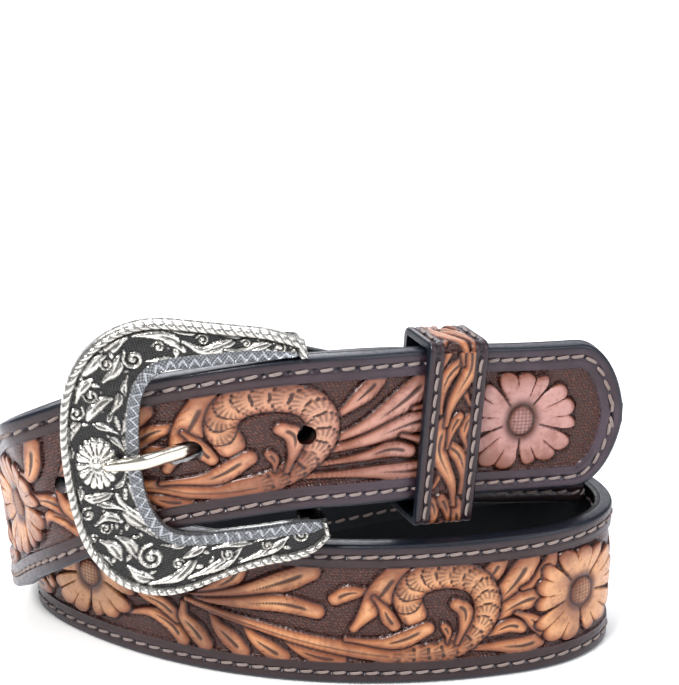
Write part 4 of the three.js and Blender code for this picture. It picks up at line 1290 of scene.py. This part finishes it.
def frame_casting():
    row_at, length = natural_spline(FRAME_TABLE)
    rows = 620
    edge = row_at(np.linspace(0, length, rows))
    width = np.hypot(edge[:, 0] - edge[:, 2], edge[:, 1] - edge[:, 3])
    rim = np.linspace(0, RIM_WIDE, 10)
    field = np.linspace(0, 1, 58)[1:]
    w = np.concatenate([np.broadcast_to(rim, (rows, len(rim))),
                        RIM_WIDE + (width[:, None] - RIM_WIDE) * field], axis=1)
    share = w / width[:, None]
    a = edge[:, :1] * (1 - share) + edge[:, 2:3] * share
    b = edge[:, 1:2] * (1 - share) + edge[:, 3:4] * share
    out_run = np.broadcast_to(run_along(edge[:, :2])[:, None], w.shape)
    in_run = np.broadcast_to(run_along(edge[:, 2:])[:, None], w.shape)
    end = np.minimum(out_run, out_run[-1] - out_run)
    near = np.minimum(w, end)
    cast = silver_scrolls()
    i = np.clip((a - cast.u0) / CELL, 0, cast.nu - 2).astype(int)
    j = np.clip((b - cast.v0) / CELL, 0, cast.nv - 2).astype(int)
    stand = np.clip(cast.height[i, j], -0.1, 1.2)
    c = -CHANNEL_DEEP + 0.98 * stand
    hatch = 0.5 + 0.5 * np.sin((a * 0.8 + b) * 2 * math.pi / 1.1) * np.sin((a - b * 0.8) * 2 * math.pi / 1.1)
    c += 0.08 * hatch * (stand < 0.05)
    recess = 1 - ease((stand - 0.10) / 0.22) - 0.1 * ease((hatch - 0.55) / 0.3) * (stand < 0.05)
    recess = np.maximum(recess, 0.85 * ease((cast.crease[i, j] - 0.3) / 0.5))
    room = np.clip((width - 4.2) / 4.0, 0, 1)[:, None]
    band_wide = 1.2 + 2.0 * room
    left = width[:, None] - w
    in_band = ease((band_wide - left) / 0.25)
    saw = np.abs(np.mod(in_run / ZIGZAG_PITCH, 1) * 2 - 1) * band_wide * 0.62 + 0.12 * band_wide
    ridge = np.exp(-((left - saw) / 0.32) ** 2)
    pebble = 0.5 + 0.5 * np.sin(in_run * 2 * math.pi / 0.9) * np.sin(left * 2 * math.pi / 0.9)
    lip = np.exp(-((left - band_wide) / 0.2) ** 2)
    band_c = -0.46 + 0.24 * ridge + 0.13 * pebble + 0.2 * lip + 0.22 * np.exp(-((left - 0.25) / 0.25) ** 2)
    c = c * (1 - in_band) + band_c * in_band
    band_black = np.clip(1.05 - 1.1 * ridge - 0.75 * pebble - 0.8 * lip, 0, 1)
    recess = recess * (1 - in_band) + band_black * in_band
    around = np.where(w < end, out_run + w * 0.9, np.where(out_run < 9, -w, out_run[-1] + w) - end * 0.9)
    twist = np.abs(np.sin(math.pi * around / ROPE_PITCH))
    bead = np.sqrt(np.clip(1 - ((near - RIM_WIDE / 2) / (RIM_WIDE / 2)) ** 2, 0, 1))
    on_rope = 1 - ease((near - RIM_WIDE + 0.1) / 0.12)
    rope_c = -0.35 + (RIM_HIGH + 0.35) * bead * (0.62 + 0.38 * np.sqrt(twist))
    c = np.where(on_rope > 0.5, rope_c, c)
    gutter = np.exp(-((near - RIM_WIDE - 0.22) / 0.25) ** 2) * (1 - on_rope)
    recess = np.maximum(recess * (1 - on_rope), np.maximum(gutter, on_rope * (1 - ease(twist / 0.6)) * 0.97))
    c = c - 0.3 * gutter * (c > -0.3)
    c -= 0.5 * (1 - ease(left / 0.35)) * (1 - on_rope)
    front = on_buckle(a, b, c)

    def back_point(depth, inset, outer):
        f = inset / width if outer else 1 - inset / width
        return on_buckle(edge[:, 0] * (1 - f) + edge[:, 2] * f, edge[:, 1] * (1 - f) + edge[:, 3] * f,
                         np.full(rows, depth))[:, None]
    rear = [back_point(-FRAME_THICK + 0.5, 0, False), back_point(-FRAME_THICK, 0.5, False),
            back_point(-FRAME_THICK, 0.4, True), back_point(-FRAME_THICK + 0.4, 0, True)]
    verts = np.concatenate([front] + rear, axis=1)
    per = verts.shape[1]
    layers = {"recess": face_layer(recess, per), "band": face_layer(in_band * (1 - on_rope), per)}
    piece = build_mesh("buckle_casting", verts, tube_faces(rows, per), layers)
    piece.data.materials.append(cast_silver("antique_silver", antiqued=True))
    outward_faces(piece)
    return piece


stand_for(frame_casting(), "buckle_frame", 55)


# Buckle bar: the heel bar that the fold and the prong hang on, held behind the arms by two lugs.
# They belong to the casting, are left plain, are hidden by the belt and take painted shade.
BAR_RADIUS = 2.0
BAR_ALONG = 0.4034 * FRAME_LONG
BAR_UP = -0.0337 * OPENING_HIGH
BAR_DEEP = 11.05
LUG_THICK = 2.0
LUG_WIDE = 6.4
LUG_CLEAR = 1.5
ARM_END = 0.464 * FRAME_LONG


def lug(name, top):
    """A flat lug: the hull of a round at the bar and a block under the arm, with its edges eased."""
    net = bmesh.new()
    w = np.arange(28) * 2 * math.pi / 28
    plan = [(BAR_ALONG + 2.8 * math.cos(q), -BAR_DEEP + 2.8 * math.sin(q)) for q in w]
    plan += [(ARM_END - f, -FRAME_THICK + d) for f in (0, LUG_WIDE) for d in (0.5, 2.1)]
    for a, c in plan:
        for b in (top, top - LUG_THICK):
            net.verts.new(on_buckle(a, b, c) * MM)
    hull = bmesh.ops.convex_hull(net, input=net.verts)
    inner = [g for g in hull["geom_interior"] if isinstance(g, bmesh.types.BMVert)]
    bmesh.ops.delete(net, geom=inner, context="VERTS")
    bmesh.ops.dissolve_limit(net, angle_limit=0.02, verts=net.verts, edges=net.edges)
    mesh = bpy.data.meshes.new(name)
    net.to_mesh(mesh)
    net.free()
    piece = bpy.data.objects.new(name, mesh)
    bpy.context.scene.collection.objects.link(piece)
    bevel = piece.modifiers.new("eased", "BEVEL")
    bevel.width = 0.3 * MM
    bevel.segments = 2
    bpy.context.view_layer.objects.active = piece
    bpy.ops.object.modifier_apply(modifier=bevel.name)
    return piece


shaded_plain_silver = cast_silver("shaded_plain_silver", antiqued=False)
upper_lug = BAR_UP + MID + LUG_CLEAR + LUG_THICK
lower_lug = BAR_UP - MID - LUG_CLEAR
centre = on_buckle(BAR_ALONG, (upper_lug + lower_lug - LUG_THICK) / 2, -BAR_DEEP)
bar = rod(BAR_RADIUS, upper_lug - lower_lug, BUCKLE_ALONG, -BUCKLE_OUT, BUCKLE_UP, centre)
bar.name = "buckle_bar"
for piece in (bar, lug("buckle_lug_upper", upper_lug), lug("buckle_lug_lower", lower_lug)):
    piece.data.materials.append(shaded_plain_silver)
    outward_faces(piece)
    stand_for(piece, "buckle_frame", 35)


# Prong: a forged tongue of plated metal, warmer than the frame. Its loop turns on the bar, its shank
# comes up through the used hole and its slim tip rests on the rail. It stays fastened.
PRONG_WIDE = 4.2
PRONG_THICK = 2.4
EYE_RADIUS = BAR_RADIUS + 0.35
LOOP_WALL = 1.6
NOSE_LONG = 1.2
prong_metal, prong_tree, prong_shader = new_finish("prong_metal", 0.18, 1.0)
prong_grain = grain_in(prong_tree, 900.0)
prong_tree.links.new(mix(prong_tree, spread(prong_tree, prong_grain.outputs["Cloud"], 0.35, 0.7),
                         (0.86, 0.81, 0.72), (0.68, 0.64, 0.57)), prong_shader.inputs["Base Color"])
rubbed(prong_tree, prong_shader, prong_grain, 0.13, 0.26)


def through_strap(ds, depth):
    p, t, up, n = station_at(USED_HOLE_AT + ds)
    return p + up * MID + n * depth


def at_height(p, b):
    return p + BUCKLE_UP * (b - (p - BUCKLE_AT) @ BUCKLE_UP)


def prong_shank():
    behind = -STRAP_THICK - PRONG_THICK / 2 - 0.45
    first = bar_mid + start_n * (EYE_RADIUS + LOOP_WALL / 2) - start_t * 0.6
    under = through_strap(4.6, behind)
    rest = PRONG_THICK / 2 + 0.5
    knots = [(first, .55, 1.1), ((first + under) / 2, .85, 1), (under, .95, 1),
             (at_height(through_strap(0.5, -STRAP_THICK / 2), -.95), 1, 1),
             (at_height(through_strap(-3.6, 2.1), -.4), 1, .96),
             (on_buckle(-.222 * FRAME_LONG, .06, rest - .2), .95, .88),
             (on_buckle(-.294 * FRAME_LONG, .2, rest), .85, .72),
             (on_buckle(-.366 * FRAME_LONG, .4, rest), .7, .56)]
    middle, length = natural_spline(np.array([[*p, thick, wide] for p, thick, wide in knots]))
    s = np.concatenate([np.linspace(0, length - NOSE_LONG, 70),
                        length - NOSE_LONG * np.array([0.7, 0.42, 0.2, 0.06, 0])])
    line = middle(s)
    p = line[:, :3]
    t = unit(np.gradient(p, axis=0))
    up = unit(BUCKLE_UP - t * (t @ BUCKLE_UP)[:, None])
    out = unit(np.cross(up, t))
    nose = np.sqrt(np.clip(1 - np.clip(1 - (length - s) / NOSE_LONG, 0, 1) ** 2, 0.06, 1))
    w = np.linspace(0, 2 * math.pi, 29)[:-1] + 0.01
    wide = np.sign(np.cos(w)) * np.abs(np.cos(w)) ** 0.75
    tall = np.sign(np.sin(w)) * np.abs(np.sin(w)) ** 0.85
    verts = (p[:, None] + up[:, None] * (wide * PRONG_WIDE / 2 * (line[:, 4] * nose)[:, None])[..., None]
             + out[:, None] * (tall * PRONG_THICK / 2 * (line[:, 3] * nose)[:, None])[..., None])
    return build_mesh("prong_shank", verts, tube_faces(len(s), len(w)))


def prong_loop():
    """The eye round the bar: a rounded ring, revolved from its section."""
    section = []
    half = PRONG_WIDE * 0.51
    for r0, z0, q in ((0.5, 0.5, 0), (0.5, -0.5, 3), (-0.3, -0.3, 2), (-0.3, 0.3, 1)):
        corner = abs(r0)
        r = EYE_RADIUS + (LOOP_WALL - corner if r0 > 0 else corner)
        z = math.copysign(half - corner, z0)
        for f in np.linspace(1, 0, 5):
            w = (q + f) * math.pi / 2
            section.append((r + corner * math.cos(w), z + corner * math.sin(w)))
    turns = np.arange(56) * 2 * math.pi / 56
    verts = [bar_mid + (start_t * math.cos(q) - start_n * math.sin(q)) * r + start_up * z
             for q in turns for r, z in section]
    return build_mesh("prong_loop", np.array(verts), tube_faces(len(turns), len(section), closed=True))


for piece in (prong_shank(), prong_loop()):
    piece.data.materials.append(prong_metal)
    outward_faces(piece)
    stand_for(piece, "prong", 50)
